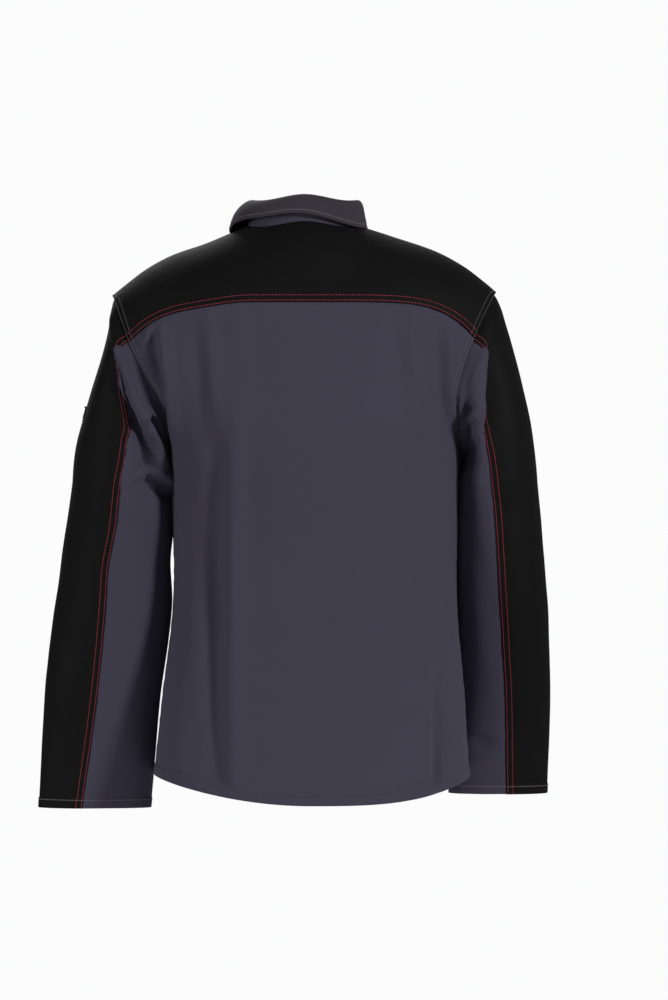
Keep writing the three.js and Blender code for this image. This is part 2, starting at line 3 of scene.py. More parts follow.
import bpy
import numpy as np
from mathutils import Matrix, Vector


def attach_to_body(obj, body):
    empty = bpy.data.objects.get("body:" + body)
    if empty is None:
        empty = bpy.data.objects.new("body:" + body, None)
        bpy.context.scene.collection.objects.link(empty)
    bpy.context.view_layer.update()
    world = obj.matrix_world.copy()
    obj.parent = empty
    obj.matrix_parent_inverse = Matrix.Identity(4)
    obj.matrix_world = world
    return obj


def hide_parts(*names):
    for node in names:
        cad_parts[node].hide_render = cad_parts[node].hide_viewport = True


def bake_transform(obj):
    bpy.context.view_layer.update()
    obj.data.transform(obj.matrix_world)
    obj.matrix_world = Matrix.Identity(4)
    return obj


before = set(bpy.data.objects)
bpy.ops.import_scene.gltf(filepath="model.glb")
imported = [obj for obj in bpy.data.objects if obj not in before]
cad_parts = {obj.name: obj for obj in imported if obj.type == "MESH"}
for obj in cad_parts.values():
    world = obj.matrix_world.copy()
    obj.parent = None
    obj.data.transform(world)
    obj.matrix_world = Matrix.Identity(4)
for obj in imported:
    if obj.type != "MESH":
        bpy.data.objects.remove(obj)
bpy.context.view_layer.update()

# Shapes below are in millimetres on the same block as the CAD: side seams at y = 0, back neck seam
# at z = 0. hookPoint is the row frame's origin seen from that block.

hookPoint = np.array([0.0, 60.03, 18.1])
rootBody = "jacket_body"


def toRow(points):
    return (np.asarray(points, float) - hookPoint) / 1000


def rowPoint(x, y, z):
    return tuple(float(c) for c in toRow([x, y, z]))


def smoothstep(value, low, high):
    t = np.clip((value - low) / (high - low), 0, 1)
    return t * t * (3 - 2 * t)


def lerp(a, b, t):
    return a + (b - a) * t


def unit(vectors):
    return vectors / np.maximum(np.linalg.norm(vectors, axis=-1, keepdims=True), 1e-9)


def through(stations, at):
    # Smooth curve through [station, value] pairs.
    xs, ys = (np.array(c, float) for c in zip(*stations))
    at = np.asarray(at, float)
    i = np.clip(np.searchsorted(xs, at) - 1, 0, len(xs) - 2)
    low, high = np.maximum(np.arange(len(xs)) - 1, 0), np.minimum(np.arange(len(xs)) + 1, len(xs) - 1)
    slope = (ys[high] - ys[low]) / (xs[high] - xs[low])
    span = xs[i + 1] - xs[i]
    t = np.clip((at - xs[i]) / span, 0, 1)
    return (
        lerp(ys[i], ys[i + 1], t * t * (3 - 2 * t))
        + span * slope[i] * t * (1 - t) ** 2
        - span * slope[i + 1] * t * t * (1 - t)
    )


block = {
    "hem": {"back": -731, "front": -716, "left": (-698, 1.9), "right": (-701, 3.2)},
    "underarm": -285,
    "shoulderTip": (246, -87),
    "backYoke": {"middle": -103, "left": (-149, 5.2), "right": (-147, 6.0)},
    "frontYoke": -165,
    "neckHalfWidth": 72,
    "neckDrop": {"back": 26, "front": 111},
    "halfWidth": [[-738, 202], [-605, 191], [-480, 179], [-380, 180], [-285, 184]],
    "armhole": [[-285, 184], [-225, 186], [-180, 203], [-137, 222], [-87, 243]],
    "shift": [[-738, -8], [-480, -13], [-285, -12], [-137, -3], [0, 0]],
    "sideShift": [[-285, 0], [-225, 5], [-180, 9], [-137, 8], [-87, 4], [0, 0]],
    "backDepth": [[-738, 138], [-480, 122], [-285, 130], [-150, 122], [30, 98]],
    "frontDepth": [[-738, 134], [-500, 130], [-340, 132], [-150, 132], [-60, 112], [30, 98]],
    "shoulder": [
        [-72, -3], [0, 26], [72, -3], [109, -15], [166, -34], [202, -53], [228, -72], [246, -87], [290, -126],
    ],
    "princess": [[-738, 150], [-480, 143], [-335, 150], [-250, 172], [-165, 197]],
    "squareness": {"back": 2.5, "front": 3},
    "flare": (0.16, 80),
    "shoulderRound": {"back": 95, "front": 80},
    "hang": {"middle": -3.0, "left": -8.0, "right": -3.5, "inwards": 4.0, "from": -60, "to": -320},
}


def armholeWidth(z):
    return through(block["armhole"], z)


def sectionWidth(z):
    share, rise = block["flare"]
    above = armholeWidth(z) * (1 + share * smoothstep(z - block["underarm"], 0, rise))
    return np.where(z <= block["underarm"], through(block["halfWidth"], z), above)


def shoulderHeight(x):
    return through(block["shoulder"], np.abs(x))


def depthAt(face, x, z):
    power = block["squareness"][face]
    full = through(block["backDepth" if face == "back" else "frontDepth"], z)
    share = np.minimum(np.abs(x) / sectionWidth(z), 1)
    below = np.clip((shoulderHeight(x) - z) / block["shoulderRound"][face], 0, 1)
    return full * (1 - share**power) ** (1 / power) * np.sqrt(1 - (1 - below) ** 2)


def bodyPoint(face, x, z):
    # The shoulders hang a little lower than the block, the left one most, and the armholes lean left.
    x, z = np.broadcast_arrays(np.asarray(x, float), np.asarray(z, float))
    y = depthAt(face, x, z) * (1 if face == "back" else -1)
    hang = block["hang"]
    held = smoothstep(z, hang["to"], hang["from"])
    side = smoothstep(np.abs(x), 70, 140)
    drop = lerp(hang["middle"], np.where(x > 0, hang["left"], hang["right"]), side)
    inwards = hang["inwards"] * smoothstep(x, 150, 240)
    shift = through(block["shift"], z) + through(block["sideShift"], z) * smoothstep(np.abs(x), 100, 185)
    return np.stack([x + shift - inwards * held, y, z + drop * held], -1)


def widthAtTurn(face, turn, z):
    return sectionWidth(z) * np.abs(np.cos(np.radians(turn))) ** (2 / block["squareness"][face])


def turnAtWidth(face, x, z):
    share = np.clip(x / sectionWidth(z), 0, 1)
    return np.degrees(np.arccos(share ** (block["squareness"][face] / 2)))


def edgeTurn(face, z):
    return np.where(z <= block["underarm"], 0, turnAtWidth(face, armholeWidth(z), z))


def backYokeSeam(x):
    seam = block["backYoke"]
    ends = []
    for side, power in (seam["left"], seam["right"]):
        ends.append(lerp(seam["middle"], side, np.minimum(np.abs(x) / armholeWidth(side), 1) ** power))
    return np.where(np.asarray(x) > 0, *ends)


def frontYokeSeam(x):
    return np.full_like(np.asarray(x, float), block["frontYoke"])


def hemHeight(face, x):
    hem = block["hem"]
    share = np.minimum(np.abs(x) / 202, 1)
    ends = [lerp(hem[face], side, share**power) for side, power in (hem["left"], hem["right"])]
    return np.where(np.asarray(x) > 0, *ends)


def neckHeight(face, x):
    share = np.minimum(np.abs(x) / block["neckHalfWidth"], 1)
    fall = (1 - share**2) ** (1 if face == "back" else 0.8)
    return shoulderHeight(x) - block["neckDrop"][face] * fall


def topHeight(face, x):
    return np.where(np.abs(x) < block["neckHalfWidth"], neckHeight(face, x), shoulderHeight(x))


def softNoise(x, z, size, seed):
    # Smooth noise from -1 to 1 with features of the given size in millimetres.
    table = np.random.default_rng(seed).uniform(-1, 1, (64, 64))
    gx, gz = x / size + 31.7, z / size + 17.3
    ix, iz = np.floor(gx).astype(int), np.floor(gz).astype(int)
    fx, fz = gx - ix, gz - iz
    fx, fz = fx * fx * (3 - 2 * fx), fz * fz * (3 - 2 * fz)

    def row(b):
        return lerp(table[ix % 64, b % 64], table[(ix + 1) % 64, b % 64], fx)

    return lerp(row(iz), row(iz + 1), fz)


def fold(a, b, line, width, height, skew=0.0):
    # A ridge (or, with a negative height, a valley) along a line of (a, b) points, fading at its ends.
    # skew adds a trough of that share on the line's left.
    line = np.array(line, float)
    lengths = np.r_[0, np.cumsum(np.linalg.norm(np.diff(line, axis=0), axis=1))]
    best = np.full(a.shape, 1e9)
    along = np.zeros(a.shape)
    signed = np.zeros(a.shape)
    for k in range(len(line) - 1):
        p, d = line[k], line[k + 1] - line[k]
        size = float(np.hypot(*d))
        t = np.clip(((a - p[0]) * d[0] + (b - p[1]) * d[1]) / size**2, 0, 1)
        da, db = a - p[0] - t * d[0], b - p[1] - t * d[1]
        distance = np.hypot(da, db)
        nearer = distance < best
        best = np.where(nearer, distance, best)
        along = np.where(nearer, (lengths[k] + t * size) / lengths[-1], along)
        signed = np.where(nearer, (d[0] * db - d[1] * da) / size, signed)
    fade = np.sin(np.pi * np.clip(along, 0.02, 0.98)) ** 0.7
    ridge = np.exp(-((best / width) ** 2))
    trough = skew * np.exp(-(((signed - 1.7 * width) / width) ** 2)) * (best < 6 * width)
    return height * fade * (ridge - trough)


def gridNormals(points, flip):
    along = np.gradient(points, axis=1)
    across = np.gradient(points, axis=0)
    normal = np.cross(along, across)
    return flip * normal / np.maximum(np.linalg.norm(normal, axis=2, keepdims=True), 1e-9)


def lengthsAlong(points, axis):
    step = np.linalg.norm(np.diff(points, axis=axis), axis=2)
    pad = [(0, 0), (0, 0)]
    pad[axis] = (1, 0)
    return np.pad(np.cumsum(step, axis=axis), pad)


def makeCloth(name, surface, size, flip=1, thickness=1.5, relief=None, builds=(), plain=()):
    # relief moves the outer face of surface(u, v) along its normal. builds are (edge, width, height)
    # bands where the cloth is doubled. plain names edges that run on into another piece.
    us, vs = np.linspace(0, 1, size[0]), np.linspace(0, 1, size[1])
    u, v = np.meshgrid(us, vs)
    points = surface(u, v)
    normals = gridNormals(points, flip)
    across, up = lengthsAlong(points, 1), lengthsAlong(points, 0)
    edges = {"left": across, "right": across[:, -1:] - across, "bottom": up, "top": up[-1:] - up}
    cells = np.cross(points[1:, :-1] - points[:-1, :-1], points[:-1, 1:] - points[:-1, :-1])
    area = np.linalg.norm(cells, axis=-1).sum() / 1e6
    lift = np.zeros(u.shape)
    if relief is not None:
        lift = lift + relief(points, u, v, edges)
    for edge, width, height in builds:
        lift = lift + height * (1 - smoothstep(edges[edge], width - 1.5, width + 1.5))
    outer = points + normals * lift[..., None]
    normals = gridNormals(outer, flip)
    piece = {
        "name": name, "us": us, "vs": vs, "outer": outer, "normals": normals, "edges": edges,
        "object": shellMesh(name, outer, normals, thickness, flip, across, up, plain),
        "flat": (across[:, -1].max() / 1000, up[-1].max() / 1000), "area": area,
    }
    return piece


def shellMesh(name, outer, normals, thickness, flip, across, up, plain=()):
    rows, columns = outer.shape[:2]
    rim = np.zeros((rows, columns), bool)
    rim[:, 0], rim[:, -1] = "left" not in plain, "right" not in plain
    rim[0, :], rim[-1, :] = "bottom" not in plain, "top" not in plain
    inset = np.where(rim, 0.25 * thickness, 0)[..., None]
    outside, inside = outer - normals * inset, outer - normals * (thickness - inset)
    layers = np.concatenate([outside.reshape(-1, 3), inside.reshape(-1, 3)])
    index = np.arange(rows * columns).reshape(rows, columns)
    a, b, c, d = index[:-1, :-1], index[:-1, 1:], index[1:, 1:], index[1:, :-1]
    n = rows * columns
    front = np.stack([a, b, c, d], -1).reshape(-1, 4)
    back = np.stack([a + n, d + n, c + n, b + n], -1).reshape(-1, 4)
    loop = np.concatenate([index[0, :], index[1:, -1], index[-1, -2::-1], index[-2:0:-1, 0]])
    after = np.roll(loop, -1)
    rims = np.stack([after, loop, loop + n, after + n], -1)
    faces = np.concatenate([front, back, rims])
    if flip < 0:
        faces = faces[:, ::-1]
    mesh = bpy.data.meshes.new(name)
    mesh.from_pydata(toRow(layers).tolist(), [], faces.tolist())
    uv = np.stack([across.ravel(), up.ravel()], -1) / 1000
    uv = np.concatenate([uv, uv])
    layer = mesh.uv_layers.new(name="cloth")
    corners = np.zeros(len(mesh.loops), int)
    mesh.loops.foreach_get("vertex_index", corners)
    layer.data.foreach_set("uv", uv[corners].ravel())
    mesh.polygons.foreach_set("use_smooth", np.ones(len(mesh.polygons), bool))
    hidden = ~(rim.ravel()[loop] | rim.ravel()[after])
    markSharp(mesh, np.stack([loop, after], -1)[hidden], n)
    obj = bpy.data.objects.new(name, mesh)
    bpy.context.scene.collection.objects.link(obj)
    return obj


def markSharp(mesh, ends, n):
    # Plain rims stay sharp, so that the shading runs on into the next piece.
    ends = np.sort(np.concatenate([ends, ends + n]), axis=1)
    pairs = np.zeros(2 * len(mesh.edges), int)
    mesh.edges.foreach_get("vertices", pairs)
    pairs = np.sort(pairs.reshape(-1, 2), axis=1)
    sharp = np.isin(pairs @ np.array([2 * n, 1]), ends @ np.array([2 * n, 1]))
    mesh.edges.foreach_set("use_edge_sharp", sharp)


def onPiece(piece, u, v):
    # Points and normals of a piece's outer face at (u, v).
    us, vs = piece["us"], piece["vs"]
    fu = np.clip(u, 0, 1) * (len(us) - 1)
    fv = np.clip(v, 0, 1) * (len(vs) - 1)
    iu, iv = np.minimum(fu.astype(int), len(us) - 2), np.minimum(fv.astype(int), len(vs) - 2)
    tu, tv = (fu - iu)[..., None], (fv - iv)[..., None]
    out = []
    for field in (piece["outer"], piece["normals"]):
        low = lerp(field[iv, iu], field[iv, iu + 1], tu)
        high = lerp(field[iv + 1, iu], field[iv + 1, iu + 1], tu)
        out.append(lerp(low, high, tv))
    return out


def besideEdge(piece, edge, distance, start=0.0, end=1.0):
    # The line that runs at a distance in millimetres from an edge, between shares of its length.
    lengths = piece["edges"][edge]
    if edge in ("bottom", "top"):
        u = np.linspace(start, end, 400)
        columns = np.clip((u * (len(piece["us"]) - 1)).round().astype(int), 0, len(piece["us"]) - 1)
        order = slice(None) if edge == "bottom" else slice(None, None, -1)
        v = np.array([np.interp(distance, lengths[order, c], piece["vs"][order]) for c in columns])
    else:
        v = np.linspace(start, end, 400)
        rows = np.clip((v * (len(piece["vs"]) - 1)).round().astype(int), 0, len(piece["vs"]) - 1)
        order = slice(None) if edge == "left" else slice(None, None, -1)
        u = np.array([np.interp(distance, lengths[r, order], piece["us"][order]) for r in rows])
    return u, v


def stitchMesh(name, lines, length=3.2, gap=0.8, radius=0.42, sink=0.15):
    # Rows of thread, one short dash per stitch, over lines of (points, normals).
    ring = [(math.cos(t), math.sin(t)) for t in np.arange(6) * math.pi / 3]
    shape = [(0.0, 0.45, -0.25), (0.18, 1.0, 0.1), (0.82, 1.0, 0.1), (1.0, 0.45, -0.25)]
    vertices, faces = [], []
    for points, normals in lines:
        travelled = np.r_[0, np.cumsum(np.linalg.norm(np.diff(points, axis=0), axis=1))]
        count = max(int(travelled[-1] / (length + gap)), 1)
        pitch = travelled[-1] / count
        for k in range(count):
            sections = []
            for share, girth, rise in shape:
                s = (k + share * length / (length + gap)) * pitch
                p = np.array([np.interp(s, travelled, points[:, c]) for c in range(3)])
                n = np.array([np.interp(s, travelled, normals[:, c]) for c in range(3)])
                sections.append((p, n, girth, rise))
            along = sections[-1][0] - sections[0][0]
            along /= max(np.linalg.norm(along), 1e-9)
            base = len(vertices)
            for p, n, girth, rise in sections:
                n = n / max(np.linalg.norm(n), 1e-9)
                side = np.cross(along, n)
                centre = p + n * (radius * rise + sink)
                for c, s in ring:
                    vertices.append(centre + (side * c + n * s * 0.8) * radius * girth)
            for j in range(3):
                for i in range(6):
                    a, b = base + j * 6 + i, base + j * 6 + (i + 1) % 6
                    faces.append((a, b, b + 6, a + 6))
            faces.append(tuple(range(base + 5, base - 1, -1)))
            faces.append(tuple(range(base + 18, base + 24)))
    mesh = bpy.data.meshes.new(name)
    mesh.from_pydata(toRow(vertices).tolist(), [], faces)
    mesh.polygons.foreach_set("use_smooth", np.ones(len(mesh.polygons), bool))
    obj = bpy.data.objects.new(name, mesh)
    bpy.context.scene.collection.objects.link(obj)
    return obj


def attach(obj, where):
    # where is a body's name, or (body, body, start, end) for cloth between two bodies; for such a tuple the
    # transform is only baked.
    if isinstance(where, str):
        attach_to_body(obj, where)
    else:
        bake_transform(obj)


narrowest = 0.01  # metres; anything narrower is a tape, not a sheet


def finishPiece(piece, where, material, nodes=()):
    # Gives the piece its material and attaches it at where, prints a sheet's flat size and area, and hides
    # the nodes it stands in for.
    obj = piece["object"]
    obj.data.materials.append(material)
    attach(obj, where)
    width, length = piece["flat"]
    if min(width, length) > narrowest:
        area = min(piece["area"], width * length)
        print("sheet", piece["name"], round(width * 1000), round(length * 1000), round(area * 1e4))
    if nodes:
        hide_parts(*nodes)
    piece["where"] = where
    return piece


def sew(piece, name, material, runs):
    # Topstitching on a piece: runs are (edge, distance) or (edge, distance, start, end).
    lines = [onPiece(piece, *besideEdge(piece, *run)) for run in runs]
    obj = stitchMesh(name, lines)
    obj.data.materials.append(material)
    attach(obj, piece["where"])
    return obj


class Value:
    # A shader socket with arithmetic: scalars through Math nodes, colours through Mix nodes.

    def __init__(self, tree, socket):
        self.tree, self.socket = tree, socket

    def node(self, kind, settings=None, **inputs):
        made = self.tree.nodes.new(kind)
        for key, value in (settings or {}).items():
            setattr(made, key, value)
        for key, value in inputs.items():
            name = key.replace("_", " ")
            socket = made.inputs[int(name[1:])] if name[1:].isdigit() else made.inputs[name]
            if isinstance(value, Value):
                self.tree.links.new(value.socket, socket)
            else:
                socket.default_value = value
        return made

    def math(self, operation, other=0.0, first=None):
        start = self if first is None else first
        made = self.node("ShaderNodeMath", {"operation": operation}, i0=start, i1=other)
        return Value(self.tree, made.outputs[0])

    def __add__(self, other):
        return self.math("ADD", other)

    def __mul__(self, other):
        return self.math("MULTIPLY", other)

    def __sub__(self, other):
        return self.math("SUBTRACT", other)

    def __rsub__(self, other):
        return self.math("SUBTRACT", self, first=other)

    def __truediv__(self, other):
        return self.math("DIVIDE", other)

    def __pow__(self, other):
        return self.math("POWER", other)

    __radd__ = __add__
    __rmul__ = __mul__

    def mix(self, low, high):
        made = self.node("ShaderNodeMix", {"data_type": "RGBA"})
        self.tree.links.new(self.socket, made.inputs["Factor"])
        for socket, colour in ((made.inputs[6], low), (made.inputs[7], high)):
            if isinstance(colour, Value):
                self.tree.links.new(colour.socket, socket)
            else:
                socket.default_value = (*colour, 1)
        return Value(self.tree, made.outputs[2])


def newMaterial(name, **fixed):
    material = bpy.data.materials.new(name)
    material.use_nodes = True
    tree = material.node_tree
    shader = tree.nodes["Principled BSDF"]
    for key, value in fixed.items():
        shader.inputs[key.replace("_", " ")].default_value = value
    return material, tree, shader


# Twill cloth: pitch is between two diagonal ribs; shade is the share by which ribs and furrows differ;
# wear is how much paler the cloth rubs in soft patches.
twill = {
    "grey": {
        "colour": (0.066, 0.0595, 0.096), "pitch": 0.0011, "shade": 0.22, "wear": 0.16,
        "roughness": 0.86, "sheen": 0.1, "specular": 0.3, "bump": 0.25,
    },
    # collar: the grey twill's colour darkened, blue most, as painted shade on the collar leaf, which faces up
    # and takes more lamp light than the cloth beside it.
    "collar": {
        "colour": (0.0504, 0.0417, 0.0576), "pitch": 0.0011, "shade": 0.22, "wear": 0.16,
        "roughness": 0.86, "sheen": 0.1, "specular": 0.3, "bump": 0.25,
    },
    "black": {
        "colour": (0.0048, 0.0048, 0.0055), "pitch": 0.0011, "shade": 0.3, "wear": 0.3,
        "roughness": 0.7, "sheen": 0.015, "specular": 0.16, "bump": 0.25,
    },
    "pocketing": {
        "colour": (0.05, 0.047, 0.062), "pitch": 0.0007, "shade": 0.15, "wear": 0.1,
        "roughness": 0.9, "sheen": 0.1, "specular": 0.3, "bump": 0.1,
    },
}


def twillMaterial(name, look):
    colour = look["colour"]
    material, tree, shader = newMaterial(
        name, Sheen_Weight=look["sheen"], Sheen_Roughness=0.5, Specular_IOR_Level=look["specular"],
    )
    base = Value(tree, None)
    uv = base.node("ShaderNodeUVMap", {"uv_map": "cloth"})
    split = base.node("ShaderNodeSeparateXYZ", Vector=Value(tree, uv.outputs[0]))
    across, up = Value(tree, split.outputs[0]), Value(tree, split.outputs[1])
    place = base.node("ShaderNodeTexCoord")
    where = Value(tree, place.outputs["Object"])
    slub = Value(tree, base.node("ShaderNodeTexNoise", Vector=where, Scale=900.0, Detail=2.0).outputs["Fac"])
    ribs = ((across + up * 1.7) * (2 * math.pi / look["pitch"]) + slub * 1.6).math("SINE") * 0.5 + 0.5
    weft = (up * (2 * math.pi / (look["pitch"] * 0.62))).math("SINE") * 0.5 + 0.5
    weave = ribs * 0.75 + weft * 0.25
    broad = base.node("ShaderNodeTexNoise", Vector=where, Scale=9.0, Detail=4.0, Roughness=0.6)
    patches = Value(tree, broad.outputs["Fac"])
    narrow = base.node("ShaderNodeTexNoise", Vector=where, Scale=160.0, Detail=2.0)
    streaks = Value(tree, narrow.outputs["Fac"])
    tone = weave * look["shade"] + patches * look["wear"] + streaks * (look["wear"] * 0.5)
    middle = 0.5 * look["shade"] + 0.75 * look["wear"]
    dark = tuple(c * (1 - middle) for c in colour)
    light = tuple(c * (2 - middle) for c in colour)
    tree.links.new(tone.mix(dark, light).socket, shader.inputs["Base Color"])
    rough = (patches - 0.5) * 0.12 + look["roughness"]
    tree.links.new(rough.socket, shader.inputs["Roughness"])
    bump = base.node("ShaderNodeBump", Height=weave + slub * 0.4, Strength=look["bump"], Distance=0.0003)
    tree.links.new(bump.outputs[0], shader.inputs["Normal"])
    return material


def threadMaterial(name, colour):
    material, tree, shader = newMaterial(name, Sheen_Weight=0.2)
    base = Value(tree, None)
    place = base.node("ShaderNodeTexCoord")
    where = Value(tree, place.outputs["Object"])
    noise = base.node("ShaderNodeTexNoise", Vector=where, Scale=1500.0, Detail=2.0)
    tone = Value(tree, noise.outputs["Fac"])
    dark, light = (tuple(c * share for c in colour) for share in (0.7, 1.3))
    tree.links.new(tone.mix(dark, light).socket, shader.inputs["Base Color"])
    tree.links.new((tone * 0.3 + 0.4).socket, shader.inputs["Roughness"])
    return material


def metalMaterial(name):
    material, tree, shader = newMaterial(name, Metallic=1.0)
    base = Value(tree, None)
    place = base.node("ShaderNodeTexCoord")
    where = Value(tree, place.outputs["Object"])
    noise = base.node("ShaderNodeTexNoise", Vector=where, Scale=700.0, Detail=4.0)
    tone = Value(tree, noise.outputs["Fac"])
    tree.links.new(tone.mix((0.09, 0.09, 0.095), (0.24, 0.24, 0.25)).socket, shader.inputs["Base Color"])
    tree.links.new((tone * 0.3 + 0.2).socket, shader.inputs["Roughness"])
    return material


greyTwill = twillMaterial("grey_twill", twill["grey"])
# The collar look is the grey twill painted darker: painted shade, not a different cloth.
collarPaintedShadeTwill = twillMaterial("collar_painted_shade_twill", twill["collar"])
blackTwill = twillMaterial("black_twill", twill["black"])
pocketing = twillMaterial("pocketing", twill["pocketing"])
redThread = threadMaterial("red_thread", (0.42, 0.012, 0.045))
greyThread = threadMaterial("grey_thread", (0.13, 0.12, 0.13))
beigeThread = threadMaterial("beige_thread", (0.24, 0.18, 0.18))
darkThread = threadMaterial("dark_thread", (0.045, 0.042, 0.055))
labelCloth = threadMaterial("label_cloth", (0.62, 0.61, 0.57))
studMetal = metalMaterial("stud_metal")
print("materials made")


# Folds are (line of x, z; width; height; skew). x is positive to the wearer's left.
back = {
    "size": (230, 260),
    "folds": [
        ([(84, -205), (87, -330), (88, -480), (88, -620), (84, -790)], 14, 9.0, 1.0),
        ([(183, -112), (176, -152), (168, -205), (160, -300)], 8, 11.0, 0.8),
        ([(188, -110), (196, -150), (212, -160)], 6, 8.0, 0.7),
        ([(122, -98), (112, -190), (104, -300)], 13, 6.5, 0.6),
        ([(60, -100), (52, -190), (50, -270)], 16, -2.2, 0.0),
        ([(150, -290), (126, -400), (112, -520)], 16, -3.0, 0.0),
        ([(-168, -120), (-172, -210), (-182, -300)], 10, -8.0, -0.5),
        ([(-130, -100), (-140, -190), (-150, -280)], 13, 5.5, 0.5),
        ([(-164, -560), (-166, -640), (-164, -790)], 8, -8.0, 0.5),
        ([(-140, -540), (-142, -640), (-140, -790)], 16, 4.0, 0.2),
        ([(-62, -560), (-75, -660), (-80, -780)], 26, 2.4, 0.3),
        ([(16, -600), (22, -680), (24, -780)], 26, 2.0, 0.2),
        ([(150, -560), (160, -650), (165, -780)], 18, 3.0, 0.3),
    ],
    "soft": 1.5,
}


def clothSoftness(points, amount, seed):
    x, z = points[..., 0], points[..., 2]
    wide = softNoise(x, z * 0.45, 70, seed)
    fine = softNoise(x, z * 0.6, 24, seed + 1)
    return amount * (0.75 * wide + 0.25 * fine)


def relief(look, seed, seams=()):
    # Folds, softness and the puckers beside sewn seams, which are (edge, reach, height).

    def lift(points, u, v, edges):
        x, z = points[..., 0], points[..., 2]
        total = clothSoftness(points, look["soft"], seed)
        held = np.ones(u.shape)
        for edge, reach, height in seams:
            held = held * smoothstep(edges[edge], 0, reach)
        total = total * held
        for line, width, height, skew in look["folds"]:
            total = total + fold(x, z, line, width, height, skew) * np.maximum(held, 0.15)
        for edge, reach, height in seams:
            running = edges["left"] if edge in ("bottom", "top") else edges["bottom"]
            pucker = softNoise(running, edges[edge] * 0.3, 7.5, seed + 7)
            total = total + height * pucker * (1 - smoothstep(edges[edge], reach * 0.3, reach))
        return total

    return lift


def backPanelSurface(u, v):
    def columnX(z):
        edge = edgeTurn("back", z)
        turn = lerp(edge, 180 - edge, u)
        return widthAtTurn("back", turn, z) * np.where(turn <= 90, 1, -1)

    topZ = np.full(u.shape, float(block["backYoke"]["middle"]))
    for _ in range(4):
        topZ = backYokeSeam(columnX(topZ)) + 7
    z = lerp(hemHeight("back", columnX(np.full(u.shape, -738.0))), topZ, v)
    points = bodyPoint("back", columnX(z), z)
    tuck = smoothstep(z, topZ - 11, topZ - 5)
    points[..., 1] -= 1.6 * tuck
    return points


seamsAround = [("left", 26, 0.5), ("right", 26, 0.5), ("top", 30, 0.5), ("bottom", 24, 0.35)]
backPanel = makeCloth(
    "back_panel", backPanelSurface, back["size"], relief=relief(back, 11, seamsAround),
    builds=[("bottom", 13, 0.9), ("left", 9, 0.5), ("right", 9, 0.5)],
)
finishPiece(backPanel, rootBody, greyTwill, ["back_panel"])
sew(backPanel, "back_hem_stitching", darkThread, [("bottom", 12)])
sew(backPanel, "back_armhole_stitching", greyThread, [
    ("left", 2.2, 0.71, 1.0), ("left", 8.6, 0.71, 1.0), ("right", 2.2, 0.71, 1.0), ("right", 8.6, 0.71, 1.0),
])

shoulderWidths = [246, 222, 196, 166, 136, 108, 86, 72]
neckWidths = [68, 62, 54, 46, 36, 26, 16, 8, 0]


def yokeSurface(face, seam, xs, raised):
    def surface(u, v):
        topX = np.interp(u, np.linspace(0, 1, len(xs)), xs)
        tuck = armholeWidth(seam(np.sign(topX) * 246.0)) / 246
        half = block["neckHalfWidth"] / 2
        lowX = topX * np.where(np.abs(topX) > half, lerp(1, tuck, smoothstep(np.abs(topX), half, 246)), 1)
        climb = np.sin(v * math.pi / 2)
        z = lerp(seam(lowX), topHeight(face, topX), climb)
        x = lerp(lowX, topX, climb)
        reach = armholeWidth(np.minimum(z, -87))
        points = bodyPoint(face, np.clip(x, -reach, reach), z)
        points[..., 1] += raised * (1 if face == "back" else -1) * (1 - smoothstep(v, 0.05, 0.4))
        return points

    return surface


yoke = {
    "size": (260, 90),
    "folds": [
        ([(-120, -60), (-40, -72), (60, -66)], 20, -1.6, 0.0),
        ([(60, -40), (130, -60), (190, -96)], 16, 1.4, 0.3),
        ([(-60, -40), (-130, -58), (-200, -100)], 16, 1.4, 0.3),
    ],
    "soft": 1.0,
}
backWidths = [*shoulderWidths, *neckWidths]
backWidths = backWidths + [-x for x in backWidths[-2::-1]]
backYoke = makeCloth(
    "back_yoke", yokeSurface("back", backYokeSeam, backWidths, 1.0), yoke["size"],
    relief=relief(yoke, 23, [("bottom", 26, 0.5), ("top", 14, 0.0), ("left", 20, 0.3), ("right", 20, 0.3)]),
    builds=[("bottom", 10, 0.6), ("left", 10, 0.4), ("right", 10, 0.4)],
)
finishPiece(backYoke, rootBody, blackTwill, ["back_yoke"])
sew(backYoke, "back_yoke_stitching", redThread, [("bottom", 2.0), ("bottom", 8.5)])
sew(backYoke, "yoke_armhole_stitching", greyThread, [
    ("left", 2.2), ("left", 8.6), ("right", 2.2), ("right", 8.6),
])
print("back made")


front = {
    "size": (90, 260),
    "folds": [
        ([(60, -340), (70, -480), (64, -700)], 22, 2.5, 0.3),
        ([(-60, -340), (-74, -500), (-66, -700)], 22, 2.5, 0.3),
        ([(110, -360), (120, -520), (118, -690)], 20, -2.5, 0.0),
        ([(-110, -360), (-122, -520), (-118, -690)], 20, -2.5, 0.0),
    ],
    "soft": 1.3,
    "overlap": 28,
}
frontBend = {"start": -342, "end": -690}
frontHem = -718.0
underYoke = 6.0
princessLap = 9
bendY = -120


def frontWhere(side):
    start, end = (rowPoint(0, bendY, frontBend[key]) for key in ("start", "end"))
    return (rootBody, f"{side}_front", start, end)


def centreFront(sign, edgeX):
    def surface(u, v):
        top = block["frontYoke"] + underYoke

        def columnX(z):
            return lerp(edgeX, through(block["princess"], z), u)

        z = lerp(hemHeight("front", sign * columnX(frontHem)), top, v)
        points = bodyPoint("front", sign * columnX(z), z)
        points[..., 1] += 1.4 * smoothstep(z, top - 10, top - 5)
        return points

    return surface


def sideFront(sign):
    def surface(u, v):
        top = block["frontYoke"] + underYoke

        def turnAt(z):
            princess = through(block["princess"], z) - princessLap
            return lerp(edgeTurn("front", z), turnAtWidth("front", princess, z), u)

        low = hemHeight("front", sign * widthAtTurn("front", turnAt(frontHem), frontHem))
        z = lerp(low, top, v)
        points = bodyPoint("front", sign * widthAtTurn("front", turnAt(z), z), z)
        under = smoothstep(u, 0.86, 0.93)
        points[..., 1] += 1.9 * np.maximum(under, smoothstep(z, top - 10, top - 5))
        return points

    return surface


